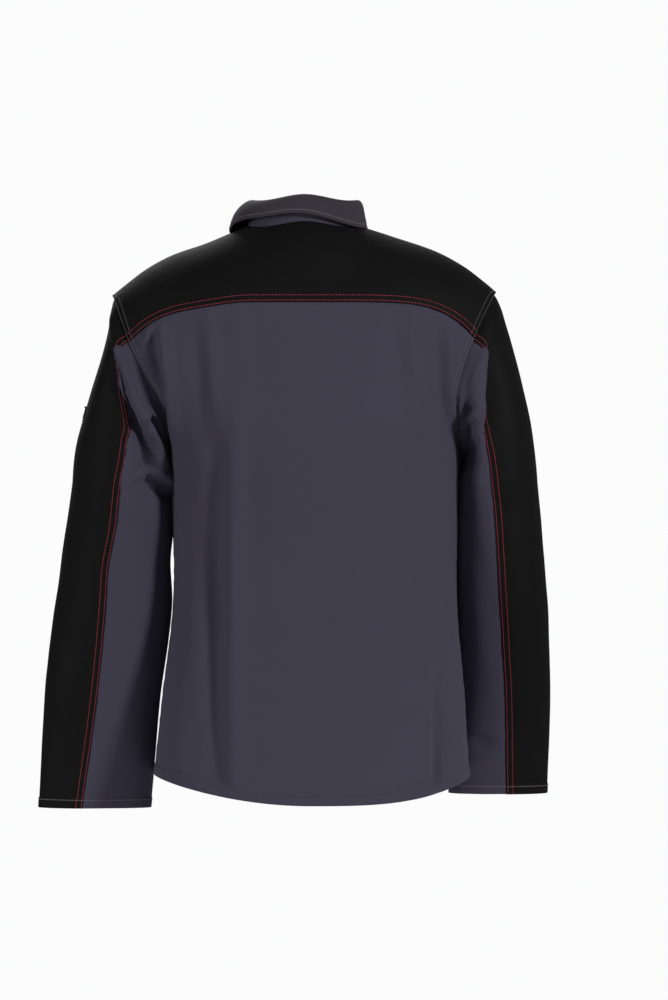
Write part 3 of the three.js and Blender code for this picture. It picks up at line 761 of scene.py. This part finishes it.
frontSeams = [("left", 18, 0.3), ("right", 20, 0.4), ("top", 20, 0.4), ("bottom", 20, 0.3)]
sideSeams = [("left", 20, 0.3), ("right", 20, 0.0), ("top", 20, 0.3), ("bottom", 20, 0.3)]
yokeSeams = [("left", 14, 0.0), ("right", 20, 0.3), ("top", 14, 0.0), ("bottom", 22, 0.4)]
for sign, side in ((1, "left"), (-1, "right")):
    edgeX = -front["overlap"] if side == "left" else front["overlap"] + 0.4
    piece = makeCloth(
        f"{side}_front", centreFront(sign, edgeX), front["size"], flip=sign,
        relief=relief(front, 31 + sign, frontSeams),
        builds=[("bottom", 13, 0.9), ("left", 30, 0.4)],
    )
    nodes = [f"{side}_front_upper", f"{side}_front_lower"]
    finishPiece(piece, frontWhere(side), greyTwill, nodes)
    sew(piece, f"{side}_front_stitching", darkThread, [
        ("bottom", 12), ("left", 2.2), ("left", 34), ("right", 2.2),
    ])
    sideLook = {"folds": [], "soft": 1.6}
    piece = makeCloth(
        f"{side}_side_front", sideFront(sign), (70, 240), flip=-sign,
        relief=relief(sideLook, 41 + sign, sideSeams),
        builds=[("bottom", 13, 0.9)],
    )
    finishPiece(piece, rootBody, greyTwill, [f"{side}_side_front"])
    sew(piece, f"{side}_side_front_stitching", darkThread, [("bottom", 12)])
    sew(piece, f"{side}_front_armhole_stitching", greyThread, [
        ("left", 2.2, 0.79, 1.0), ("left", 8.6, 0.79, 1.0),
    ])
    xs = [x for x in [-28, -18, -9, *reversed(neckWidths), *reversed(shoulderWidths)] if x > edgeX]
    xs = [sign * x for x in [edgeX, *xs]]
    piece = makeCloth(
        f"{side}_front_yoke", yokeSurface("front", frontYokeSeam, xs, 1.0), (150, 100), flip=sign,
        relief=relief({"folds": [], "soft": 1.0}, 51 + sign, yokeSeams),
        builds=[("bottom", 10, 0.6)],
    )
    finishPiece(piece, rootBody, blackTwill, [f"{side}_front_yoke"])
    sew(piece, f"{side}_front_yoke_stitching", redThread, [("bottom", 2.0), ("bottom", 8.5)])
    sew(piece, f"{side}_front_yoke_armhole_stitching", greyThread, [("right", 2.2), ("right", 8.6)])
print("fronts made")


sleeves = {
    "left": {
        "sign": 1,
        "cuff": -743,
        "outer": [[-743, 338], [-605, 330], [-453, 311], [-330, 293]],
        "inner": [[-743, 196], [-605, 184], [-529, 173], [-480, 168], [-430, 170], [-385, 166], [-330, 168]],
        "away": 0.12,
        "puff": {"top": -140, "bottom": -240, "over": 22, "rise": 9},
        "centreY": [[-743, -42], [-605, -30], [-453, -14], [-330, -2]],
        "halfDepth": [[-743, 30], [-605, 42], [-453, 58], [-330, 72]],
        "seam": [
            [-743, 78], [-605, 86], [-462, 84], [-388, 88], [-330, 91], [-285, 96], [-240, 98], [-208, 99],
            [-148, 84], [-111, 66], [-87, 66.8],
        ],
        "folds": {
            "outer": [
                ([(300, -250), (280, -300), (262, -340)], 20, 2.0, 0.3),
                ([(322, -560), (305, -600), (290, -640)], 22, 2.0, 0.3),
                ([(310, -420), (300, -500), (296, -560)], 26, -2.0, 0.0),
            ],
            "under": [
                ([(232, -160), (213, -228), (194, -263), (165, -352)], 7, 12.0, 1.0),
                ([(206, -256), (197, -240), (182, -246), (166, -274)], 5, 10.0, 1.0),
                ([(206, -322), (190, -316), (168, -336), (158, -346)], 6, 10.0, 0.9),
                ([(198, -268), (192, -300), (188, -345)], 8, -8.0, 0.0),
                ([(238, -250), (228, -310), (216, -390)], 13, 4.5, 0.7),
                ([(232, -420), (215, -500), (208, -580)], 20, 2.6, 0.4),
                ([(238, -560), (226, -640), (226, -720)], 22, 2.0, 0.3),
            ],
        },
    },
    "right": {
        "sign": -1,
        "cuff": -729,
        "outer": [[-729, 311], [-605, 312], [-453, 305], [-330, 293]],
        "inner": [[-729, 185], [-605, 197], [-529, 194], [-453, 191], [-385, 190.5], [-330, 192]],
        "away": 0.34,
        "puff": {"top": -140, "bottom": -266, "over": 18, "rise": 9},
        "centreY": [[-729, -118], [-605, -80], [-529, -52], [-453, -30], [-330, -5]],
        "halfDepth": [[-729, 38], [-605, 45], [-453, 60], [-330, 74]],
        "seam": [
            [-729, 81], [-607, 90], [-498, 93], [-373, 96], [-330, 100], [-285, 102], [-208, 102], [-160, 94],
            [-138, 82], [-111, 68], [-87, 68],
        ],
        "folds": {
            "outer": [
                ([(-262, -240), (-276, -330), (-280, -420)], 22, 2.0, 0.3),
                ([(-300, -560), (-285, -600), (-270, -640)], 22, 2.0, 0.3),
            ],
            "under": [
                ([(-196, -222), (-206, -262), (-212, -318)], 9, -12.0, -0.6),
                ([(-214, -244), (-200, -252), (-190, -262)], 7, 8.0, 0.7),
                ([(-228, -650), (-226, -676)], 14, -4.0, 0.0),
                ([(-218, -190), (-215, -260), (-218, -350)], 12, 4.0, 0.5),
                ([(-214, -420), (-222, -500), (-226, -580)], 18, 2.6, 0.4),
                ([(-240, -540), (-232, -620), (-226, -700)], 22, 2.0, 0.3),
            ],
        },
    },
}
sleeveCut = {"head": -330, "ring": -416, "armBend": (-236, -400), "elbowBend": (-432, -556)}
headTop = block["shoulderTip"][1]
headLength = headTop - sleeveCut["head"]


def armholePoint(sign, turn):
    z = lerp(block["underarm"], block["shoulderTip"][1], (1 + np.cos(np.radians(turn))) / 2)
    x = armholeWidth(z)
    back = np.sin(np.radians(turn)) >= 0
    points = np.where(back[..., None], bodyPoint("back", sign * x, z), bodyPoint("front", sign * x, z))
    points[..., 0] -= sign * 1.4
    return points


def sleevePoint(sleeve, turn, z):
    outer, inner = through(sleeve["outer"], z), through(sleeve["inner"], z)
    x = (outer + inner) / 2 + (outer - inner) / 2 * np.cos(np.radians(turn))
    y = through(sleeve["centreY"], z) + through(sleeve["halfDepth"], z) * np.sin(np.radians(turn))
    return np.stack([sleeve["sign"] * x, y, np.broadcast_to(z, x.shape)], -1)


def headPoint(sleeve, turn, s):
    start = armholePoint(sleeve["sign"], turn)
    end = sleevePoint(sleeve, turn, np.full(turn.shape, float(sleeveCut["head"])))
    below = sleevePoint(sleeve, turn, np.full(turn.shape, sleeveCut["head"] - 10.0))
    above = sleevePoint(sleeve, turn, np.full(turn.shape, sleeveCut["head"] + 10.0))
    axis = (above - below) / np.linalg.norm(above - below, axis=-1, keepdims=True)
    reach = np.linalg.norm(end - start, axis=-1, keepdims=True) * 0.36
    outwards = lerp(sleeve["away"], 0.72, np.sin(np.radians(turn)) ** 2)
    away = np.stack([sleeve["sign"] * outwards, np.zeros(turn.shape), -np.sqrt(1 - outwards**2)], -1)
    s = s[..., None]
    first, second = start + away * reach, end + axis * reach
    return start * (1 - s) ** 3 + 3 * first * s * (1 - s) ** 2 + 3 * second * s**2 * (1 - s) + end * s**3


def sleeveAt(sleeve, turn, level):
    # level is 0 at the armhole, 1 at the head's lower end and below that counts on in the same measure.
    z = sleeveCut["head"] + (1 - np.maximum(level, 1)) * headLength
    low = sleevePoint(sleeve, turn, z)
    high = headPoint(sleeve, turn, np.clip(level, 0, 1))
    return np.where((level > 1)[..., None], low, high)


def levelOf(z):
    return 1 + (sleeveCut["head"] - z) / headLength


def stationOf(level):
    head = float(sleeveCut["head"])
    return np.where(level < 1, lerp(headTop, head, level), head + (1 - level) * headLength)


def puffed(points, sleeve):
    # Below the armhole the grey cloth rolls over the black at the back seam.
    puff = sleeve["puff"]
    beside = lengthsAlong(points, 1)
    sideways = -unit(np.gradient(points, axis=1))
    outwards = gridNormals(points, sleeve["sign"])
    level = points[:, :1, 2]
    amount = smoothstep(level, puff["bottom"], puff["bottom"] + 34)
    amount = amount * smoothstep(-level, -puff["top"], 26 - puff["top"])
    amount = amount * smoothstep(beside, 8, 14)
    over = amount * puff["over"] * np.exp(-(((beside - 23) / 13) ** 2))
    rise = amount * puff["rise"] * np.exp(-(((beside - 32) / 22) ** 2))
    return points + sideways * over[..., None] + outwards * rise[..., None]


def sleevePanel(sleeve, panel, fromLevel, toLevel):
    lap, halfAcross, perRadian = 9.0, 65.0, 57.3

    def surface(u, v):
        level = lerp(toLevel, fromLevel, v)
        station = stationOf(level)
        backSeam = through(sleeve["seam"], station)
        frontSeam = lerp(backSeam, 78.0, smoothstep(station, -250, -95))
        if panel == "outer":
            return sleeveAt(sleeve, lerp(-frontSeam, backSeam, u), level)
        reach = lap / halfAcross * perRadian
        points = sleeveAt(sleeve, lerp(backSeam - reach, 360 - frontSeam + reach, u), level)
        return puffed(points, sleeve)

    return surface


def sleeveRelief(sleeve, panel, seed):
    folds = sleeve["folds"][panel]

    def lift(points, u, v, edges):
        x, z = points[..., 0], points[..., 2]
        centre = through(sleeve["centreY"], z)
        facing = smoothstep(points[..., 1] - centre, -25, 25)
        fromInner = x - sleeve["sign"] * through(sleeve["inner"], z)
        free = 1 - 0.7 * np.exp(-((fromInner / 16) ** 2))
        seam = smoothstep(np.minimum(edges["left"], edges["right"]), 2, 24)
        total = clothSoftness(points, 1.8, seed) * lerp(0.3, 1, seam) * free
        for line, width, height, skew in folds:
            total = total + fold(x, z, line, width, height, skew) * facing * lerp(0.35, 1, seam)
        beside = np.minimum(edges["left"], edges["right"])
        total = total + 0.5 * softNoise(z, beside * 0.3, 8, seed + 5) * (1 - smoothstep(beside, 6, 22))
        if panel == "outer":
            total = total + 0.9
        else:
            total = total - 0.7 * (1 - smoothstep(beside, 7, 12))
        return total

    return lift


def atArmhole(lift, rise, crown):
    # Cloth that starts under the armhole edge and swells just beyond it, most on the crown's slopes.

    def changed(points, u, v, edges):
        gone = edges["top"]
        total = lift(points, u, v, edges)
        total = total * smoothstep(gone, 4, 40)
        slope = smoothstep(np.abs(u - 0.5), 0.1, 0.3)
        total = total + crown * slope * np.exp(-(((gone - 16) / 13) ** 2))
        return total - 1.1 * (1 - smoothstep(gone, 2, 9)) + rise * np.exp(-(((gone - 22) / 14) ** 2))

    return changed


cuffBuild = [("bottom", 13, 0.8)]
crowns = {"outer": 4.0, "under": 0.0}
for side, sleeve in sleeves.items():
    sign = sleeve["sign"]
    ring = levelOf(sleeveCut["ring"])
    armWhere = (rootBody, f"{side}_arm", *(rowPoint(0, 0, z) for z in sleeveCut["armBend"]))
    foreWhere = (f"{side}_arm", f"{side}_forearm", *(rowPoint(0, 0, z) for z in sleeveCut["elbowBend"]))
    for panel, material, slot in (("under", greyTwill, "grey_twill"), ("outer", blackTwill, "black_twill")):
        soft = sleeveRelief(sleeve, panel, 61 + sign + (5 if panel == "outer" else 0))
        upper = makeCloth(
            f"{side}_sleeve_upper_{panel}", sleevePanel(sleeve, panel, 0.0, ring), (120, 150), flip=sign,
            relief=atArmhole(soft, 1.3, crowns[panel]), plain=("bottom",),
        )
        nodes = [f"{side}_sleeve_head_{panel}", f"{side}_arm_{panel}"]
        finishPiece(upper, armWhere, material, nodes)
        lower = makeCloth(
            f"{side}_sleeve_lower_{panel}", sleevePanel(sleeve, panel, ring, levelOf(sleeve["cuff"])),
            (120, 190), flip=sign, relief=soft, builds=cuffBuild, plain=("top",),
        )
        finishPiece(lower, foreWhere, material, [f"{side}_forearm_{panel}"])
        sew(lower, f"{side}_cuff_stitching_{panel}", beigeThread, [("bottom", 11)])
        if panel == "outer":
            runs = [("left", 2.0), ("left", 8.5), ("right", 2.0), ("right", 8.5)]
            sew(upper, f"{side}_sleeve_stitching_upper", redThread, runs)
            sew(lower, f"{side}_sleeve_stitching_lower", redThread, runs)
print("sleeves made")


collar = {
    "end": -84, "lean": 0.12, "cloth": 2.0, "neckGap": -4.0, "tuck": 1.8,
    "stand": {"back": 35, "side": 34, "front": 24},
    "reach": [
        [-84, 24], [-40, 30], [0, 27], [30, 25], [60, 20], [90, 16], [130, 12], [170, 9], [190, 12],
        [215, 22], [264, 26],
    ],
    "drop": [
        [-84, 50], [-40, 46], [0, 40], [18, 31], [40, 24], [70, 23], [90, 25], [120, 29], [150, 34],
        [180, 36], [215, 44], [264, 50],
    ],
    "size": (420, 60),
}


def neckPoint(turn):
    x = block["neckHalfWidth"] * np.cos(np.radians(turn))
    back = (np.sin(np.radians(turn)) >= 0)[..., None]
    onBack = bodyPoint("back", x, neckHeight("back", x))
    return np.where(back, onBack, bodyPoint("front", x, neckHeight("front", x)))


def neckOutward(turn):
    along = neckPoint(turn + 1) - neckPoint(turn - 1)
    return unit(np.stack([along[..., 1], -along[..., 0], np.zeros(turn.shape)], -1))


def roundNeck(value, turn):
    back = np.sin(np.radians(turn))
    return lerp(value["side"], np.where(back >= 0, value["back"], value["front"]), back**2)


def standPoint(turn, share):
    height = (collar["neckGap"] + roundNeck(collar["stand"], turn) * share)[..., None]
    up = np.array([0, 0, 1.0])
    return neckPoint(turn) + (up - neckOutward(turn) * collar["lean"]) * height


def leafPoint(turn, share):
    one = np.ones(turn.shape)
    out = neckOutward(turn)
    along = standPoint(turn + 1, one) - standPoint(turn - 1, one)
    off = unit(np.cross(out, along))
    fold0 = standPoint(turn, one)
    start = fold0 - out * collar["cloth"] + off * (collar["cloth"] + 1.0)
    reach, drop = through(collar["reach"], turn)[..., None], through(collar["drop"], turn)[..., None]
    up = np.array([0, 0, 1.0])
    first = start + out * 7 + off * 1.2
    second = start + out * reach - up * drop * 0.3
    last = start + out * (reach + collar["cloth"]) - up * drop
    s = share[..., None]
    points = start * (1 - s) ** 3 + 3 * first * s * (1 - s) ** 2 + 3 * second * s**2 * (1 - s) + last * s**3
    near = np.maximum(smoothstep(-turn, 50, 84), smoothstep(turn, 230, 264))
    points[..., 0] += np.sign(90 - turn) * 16 * near * share**1.5
    return points


def collarTurn(u):
    return lerp(collar["end"], 180 - collar["end"], u)


def leafRelief(points, u, v, edges):
    wave = softNoise(edges["left"], edges["top"] * 0.5, 42, 5) * 1.1 * smoothstep(v, 0.2, 0.8)
    pucker = 0.3 * softNoise(edges["left"], edges["top"] * 0.3, 8, 9)
    return wave + pucker * (1 - smoothstep(edges["top"], 4, 12))


def standRelief(points, u, v, edges):
    wave = 0.4 * softNoise(edges["left"], edges["bottom"], 40, 71)
    return wave - collar["tuck"] * (1 - smoothstep(edges["bottom"], 3, 7))


stand = makeCloth(
    "collar_stand", lambda u, v: standPoint(collarTurn(u), v), (360, 24), thickness=2.0, relief=standRelief,
)
finishPiece(stand, rootBody, greyTwill, ["collar_stand"])
sew(stand, "collar_stand_stitching", darkThread, [("bottom", 8.0)])
leaf = makeCloth(
    "collar_leaf", lambda u, v: leafPoint(collarTurn(u), v), collar["size"], flip=-1, thickness=2.2,
    relief=leafRelief,
)
# The leaf wears the grey twill painted darker, as painted shade.
finishPiece(leaf, rootBody, collarPaintedShadeTwill, ["collar_leaf"])
sew(leaf, "collar_leaf_stitching", beigeThread, [("top", 4.5), ("left", 4.5), ("right", 4.5)])
print("collar made")


closure = {
    "fly": (-26, 34, 2.2, "left"), "placket": (-58, 24, 8.8, "right"), "strip": 1.2,
    "levels": [-140, -222, -305, -420, -530, -640],
}


def stripSurface(low, high, depth):
    def surface(u, v):
        x = lerp(low, high, u)
        z = lerp(hemHeight("front", x) + 6, topHeight("front", x) - 5, v)
        points = bodyPoint("front", x, z)
        points[..., 1] += depth
        return points

    return surface


closureNodes = {"fly": "left_fly_facing", "placket": "right_placket"}
for key, name in closureNodes.items():
    low, high, depth, side = closure[key]
    piece = makeCloth(
        name, stripSurface(low, high, depth), (24, 260), thickness=closure["strip"],
        relief=relief({"folds": [], "soft": 0.25}, 81),
    )
    nodes = [f"{name}_upper", f"{name}_lower"]
    finishPiece(piece, frontWhere(side), greyTwill, nodes)
    sew(piece, f"{name}_stitching", darkThread, [("left", 3), ("right", 3)])


def lathe(name, profile, at, normal, turns=28):
    # A turned piece: profile is (radius, height) from the axis and back to it.
    normal = np.array(normal, float) / np.linalg.norm(normal)
    side = unit(np.cross(normal, [0.0, 0.0, 1.0]))
    across = np.cross(side, normal)
    angles = np.arange(turns) * 2 * math.pi / turns
    vertices, faces = [], []
    for radius, height in profile:
        for t in angles:
            spoke = side * math.cos(t) + across * math.sin(t)
            vertices.append(at + normal * height + spoke * max(radius, 0.01))
    for j in range(len(profile) - 1):
        for i in range(turns):
            a, b = j * turns + i, j * turns + (i + 1) % turns
            faces.append((a, b, b + turns, a + turns))
    mesh = bpy.data.meshes.new(name)
    mesh.from_pydata(toRow(vertices).tolist(), [], faces)
    mesh.polygons.foreach_set("use_smooth", np.ones(len(mesh.polygons), bool))
    obj = bpy.data.objects.new(name, mesh)
    bpy.context.scene.collection.objects.link(obj)
    obj.data.materials.append(studMetal)
    return obj


socketProfile = [
    (0, 0.2), (4.6, 0.2), (6.2, 0), (6.5, -0.5), (6.5, -1.9), (5.9, -2.5), (3.6, -2.5), (3, -2.2), (3, -0.8),
    (0, -0.6),
]
studProfile = [
    (0, 2.1), (1.8, 2.1), (2.2, 1.7), (2.0, 0.6), (2.6, 0), (5.4, 0), (6, -0.4), (6, -0.9), (5.4, -1.2),
    (0, -1.2),
]


def frontNormal(x, z):
    a, b = (bodyPoint("front", x + d, z) for d in (-4, 4))
    c, d = (bodyPoint("front", x, z + e) for e in (-4, 4))
    return unit(np.cross(b - a, d - c))


frontStuds = (("socket", socketProfile, 3.8, "left"), ("stud", studProfile, 6.8, "right"))
for i, z in enumerate(closure["levels"]):
    at, normal = bodyPoint("front", 0, z), frontNormal(0, z)
    for kind, profile, depth, side in frontStuds:
        name = f"front_{kind}_{i + 1}"
        obj = lathe(f"{name}_metal", profile, at - normal * depth, normal)
        attach(obj, frontWhere(side) if z < block["frontYoke"] - 170 else rootBody)
        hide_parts(name)
print("closure made")


chestPocket = {"from": 45, "to": 146, "top": -190, "bottom": -325, "rise": 7, "edge": 14, "lay": 2.0}
chestFlap = {"from": 41, "to": 150, "top": -172, "bottom": -236, "rise": 13.6, "lay": 2.0, "stud": 18}
flapStud = {"socket": 13.6, "stud": 11.2}
innerPocket = {"from": 50, "to": 150, "top": -205, "bottom": -322, "rise": 10, "edge": 14}
sidePocket = {
    "top": -430, "bottom": -600, "rise": 11, "edge": 16, "mouth": 27, "slant": 7, "bag": 24, "welt": 5,
}
penPocket = {"top": -232, "bottom": -318, "from": -34, "to": 14, "rise": 0.4, "edge": 9, "lay": 1.4}


def pouchRelief(look, lay, outwards=1):
    def lift(points, u, v, edges):
        side = np.minimum(edges["left"], edges["right"])
        swell = smoothstep(side, 0, look["edge"]) * smoothstep(edges["bottom"], 0, look["edge"])
        soft = 0.7 * softNoise(points[..., 0], points[..., 2], 30, 13) * swell
        pucker = 0.35 * softNoise(points[..., 2] + points[..., 0], side * 0.3, 7, 15)
        seam = pucker * (1 - smoothstep(side, 4, 14))
        return outwards * (lay + look["rise"] * swell + soft) + seam

    return lift


def frontPatch(sign, look):
    def surface(u, v):
        x = lerp(look["from"], look["to"], u)
        return bodyPoint("front", sign * x, lerp(look["bottom"], look["top"], v))

    return surface


def flapRelief(points, u, v, edges):
    lift = lerp(chestFlap["rise"], 0.4, smoothstep(v, 0.68, 1))
    soft = 0.6 * softNoise(points[..., 0], points[..., 2], 34, 19)
    return chestFlap["lay"] + lift + soft * smoothstep(edges["top"], 0, 20)


def sidePatch(sign, low, high):
    def surface(u, v):
        z = lerp(sidePocket["bottom"], sidePocket["top"], v)
        turn = lerp(low, high, u) + sidePocket["slant"] * v
        return bodyPoint("front", sign * widthAtTurn("front", turn, z), z)

    return surface


def flatLift(height):
    return lambda points, u, v, edges: np.full(u.shape, height)


for sign, side in ((1, "left"), (-1, "right")):
    piece = makeCloth(
        f"{side}_chest_pocket_cloth", frontPatch(sign, chestPocket), (80, 90), flip=sign, thickness=1.3,
        relief=pouchRelief(chestPocket, chestPocket["lay"]), builds=[("top", 20, 0.5)],
    )
    finishPiece(piece, rootBody, greyTwill, [f"{side}_chest_pocket"])
    sew(piece, f"{side}_chest_pocket_stitching", darkThread, [
        ("left", 2), ("right", 2), ("bottom", 2), ("left", 8), ("right", 8), ("bottom", 8), ("top", 18),
    ])
    piece = makeCloth(
        f"{side}_chest_flap_cloth", frontPatch(sign, chestFlap), (90, 60), flip=sign, thickness=2.0,
        relief=flapRelief,
    )
    finishPiece(piece, f"{side}_flap", greyTwill, [f"{side}_chest_flap"])
    sew(piece, f"{side}_chest_flap_stitching", darkThread, [
        ("left", 3), ("right", 3), ("bottom", 3), ("top", 2), ("top", 8),
    ])
    middle = sign * (chestFlap["from"] + chestFlap["to"]) / 2
    z = chestFlap["bottom"] + chestFlap["stud"]
    at, normal = bodyPoint("front", middle, z), frontNormal(middle, z)
    socket = lathe(f"{side}_flap_socket_metal", socketProfile, at + normal * flapStud["socket"], normal)
    attach(socket, f"{side}_flap")
    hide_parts(f"{side}_flap_socket")
    stud = lathe(f"{side}_flap_stud_metal", studProfile, at + normal * flapStud["stud"], normal)
    attach(stud, rootBody)
    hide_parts(f"{side}_flap_stud")
    mouth = sidePocket["mouth"]
    bag = makeCloth(
        f"{side}_pocket_bag_cloth", sidePatch(sign, mouth - sidePocket["bag"], mouth), (60, 90), flip=-sign,
        thickness=0.9, relief=pouchRelief(sidePocket, 2.3, -1),
    )
    finishPiece(bag, rootBody, pocketing, [f"{side}_pocket_bag"])
    welt = makeCloth(
        f"{side}_pocket_welt_cloth", sidePatch(sign, mouth - sidePocket["welt"], mouth), (14, 90), flip=-sign,
        thickness=1.6, relief=flatLift(2.4),
    )
    finishPiece(welt, rootBody, greyTwill, [f"{side}_pocket_welt"])
    sew(welt, f"{side}_pocket_welt_stitching", darkThread, [
        ("left", 2), ("right", 2), ("top", 2), ("bottom", 2),
    ])

inner = makeCloth(
    "inside_pocket_cloth", frontPatch(1, innerPocket), (60, 60), thickness=0.9,
    relief=pouchRelief(innerPocket, 2.6, -1),
)
finishPiece(inner, rootBody, pocketing, ["inside_pocket"])


def penSurface(u, v):
    turn = lerp(penPocket["from"], penPocket["to"], u)
    z = lerp(penPocket["bottom"], penPocket["top"], v)
    return sleeveAt(sleeves["left"], turn, (headTop - z) / headLength)


penWhere = (rootBody, "left_arm", *(rowPoint(0, 0, z) for z in sleeveCut["armBend"]))
pen = makeCloth(
    "pen_pocket_cloth", penSurface, (60, 70), thickness=1.3, relief=pouchRelief(penPocket, penPocket["lay"]),
    builds=[("top", 16, 0.5)],
)
finishPiece(pen, penWhere, blackTwill, ["pen_pocket"])
sew(pen, "pen_pocket_stitching", darkThread, [("left", 2), ("right", 2), ("bottom", 2), ("top", 14)])


def barTack(name, piece, u, v, material):
    # A bar of close crosswise stitches at a pocket's corner.
    us = np.linspace(u[0], u[1], 30)
    points, normals = onPiece(piece, us, np.full(30, v))
    obj = stitchMesh(name, [(points + normals * 0.5, normals)], length=0.9, gap=-0.15, radius=1.1)
    obj.data.materials.append(material)
    attach(obj, piece["where"])


barTack("pen_pocket_tack_back", pen, (0.86, 1.0), 0.985, redThread)
barTack("pen_pocket_tack_front", pen, (0.0, 0.14), 0.985, redThread)
print("pockets made")


hanger = {"halfTurn": 22, "low": 3, "rise": 14, "tape": 7, "bow": 5, "gap": 0.5}


def loopSurface(u, v):
    height = hanger["low"] - collar["neckGap"] + hanger["rise"] * np.sin(np.pi * u) + hanger["tape"] * v
    return standPoint(90 + lerp(-hanger["halfTurn"], hanger["halfTurn"], u), height / collar["stand"]["back"])


def loopRelief(points, u, v, edges):
    return -(collar["cloth"] + hanger["gap"] + hanger["bow"] * np.sin(np.pi * u))


loop = makeCloth("hanger_loop_tape", loopSurface, (60, 10), thickness=1.4, relief=loopRelief)
finishPiece(loop, rootBody, blackTwill, ["hanger_loop"])
sizeLabel = {"halfWidth": 21, "bottom": -76, "top": -42, "behind": -2.5}


def labelSurface(u, v):
    half = sizeLabel["halfWidth"]
    return bodyPoint("back", lerp(half, -half, u), lerp(sizeLabel["bottom"], sizeLabel["top"], v))


label = makeCloth(
    "size_label_cloth", labelSurface, (30, 26), thickness=0.8, relief=flatLift(sizeLabel["behind"]),
)
finishPiece(label, rootBody, labelCloth, ["size_label"])
sew(label, "size_label_stitching", darkThread, [
    ("left", 1.5), ("right", 1.5), ("top", 1.5), ("bottom", 1.5),
])
print("loop and label made")


camera = {"distance": 6.2, "aim": (-37, -352), "imageWidth": 845}
studio = {"ambient": 0.12}


def addLight(name, place, aim, size, power, colour=(1, 1, 1)):
    light = bpy.data.lights.new(name, "AREA")
    light.shape, light.size, light.size_y = "RECTANGLE", size[0], size[1]
    light.energy, light.color = power, colour
    obj = bpy.data.objects.new(name, light)
    bpy.context.scene.collection.objects.link(obj)
    obj.location = place
    obj.rotation_euler = (Vector(aim) - Vector(place)).to_track_quat("-Z", "Y").to_euler()
    return obj


def makeStage():
    scene = bpy.context.scene
    world = bpy.data.worlds.new("studio")
    scene.world = world
    world.use_nodes = True
    tree = world.node_tree
    sky = tree.nodes["Background"]
    sky.inputs["Color"].default_value = (0.97, 0.97, 0.975, 1)
    seen = tree.nodes.new("ShaderNodeLightPath")
    strength = tree.nodes.new("ShaderNodeMapRange")
    tree.links.new(seen.outputs["Is Camera Ray"], strength.inputs["Value"])
    strength.inputs["To Min"].default_value = studio["ambient"]
    strength.inputs["To Max"].default_value = 1.0
    tree.links.new(strength.outputs["Result"], sky.inputs["Strength"])
    bpy.ops.mesh.primitive_plane_add(size=1.6, location=(0, 0, -1.12))
    floor = bpy.context.active_object
    floor.name = "floor"
    material, tree, shader = newMaterial("floor", Roughness=0.9)
    base = Value(tree, None)
    place = base.node("ShaderNodeTexCoord")
    where = Value(tree, place.outputs["Object"])
    noise = base.node("ShaderNodeTexNoise", Vector=where, Scale=40.0, Detail=3.0)
    tone = Value(tree, noise.outputs["Fac"])
    tree.links.new(tone.mix((0.8, 0.8, 0.8), (0.84, 0.84, 0.84)).socket, shader.inputs["Base Color"])
    floor.data.materials.append(material)
    aim = rowPoint(0, 0, -330)
    addLight("key", (-2.9, 2.9, 0.85), aim, (0.6, 0.8), 96)
    addLight("fill", (3.2, 2.1, -0.3), aim, (0.8, 1.0), 42)
    addLight("front_fill", (0.6, -3.0, 1.2), aim, (2.0, 2.0), 45)
    data = bpy.data.cameras.new("camera")
    obj = bpy.data.objects.new("camera", data)
    scene.collection.objects.link(obj)
    scene.camera = obj
    x, _, z = rowPoint(camera["aim"][0], 0, camera["aim"][1])
    obj.location = (x, camera["distance"], z)
    obj.rotation_euler = (math.pi / 2, 0, math.pi)
    data.sensor_fit = "HORIZONTAL"
    data.sensor_width = 36
    data.lens = 36 * (camera["distance"] * 1000 + 60) / camera["imageWidth"]
    data.clip_end = 100
    scene.view_settings.view_transform = "Standard"


makeStage()
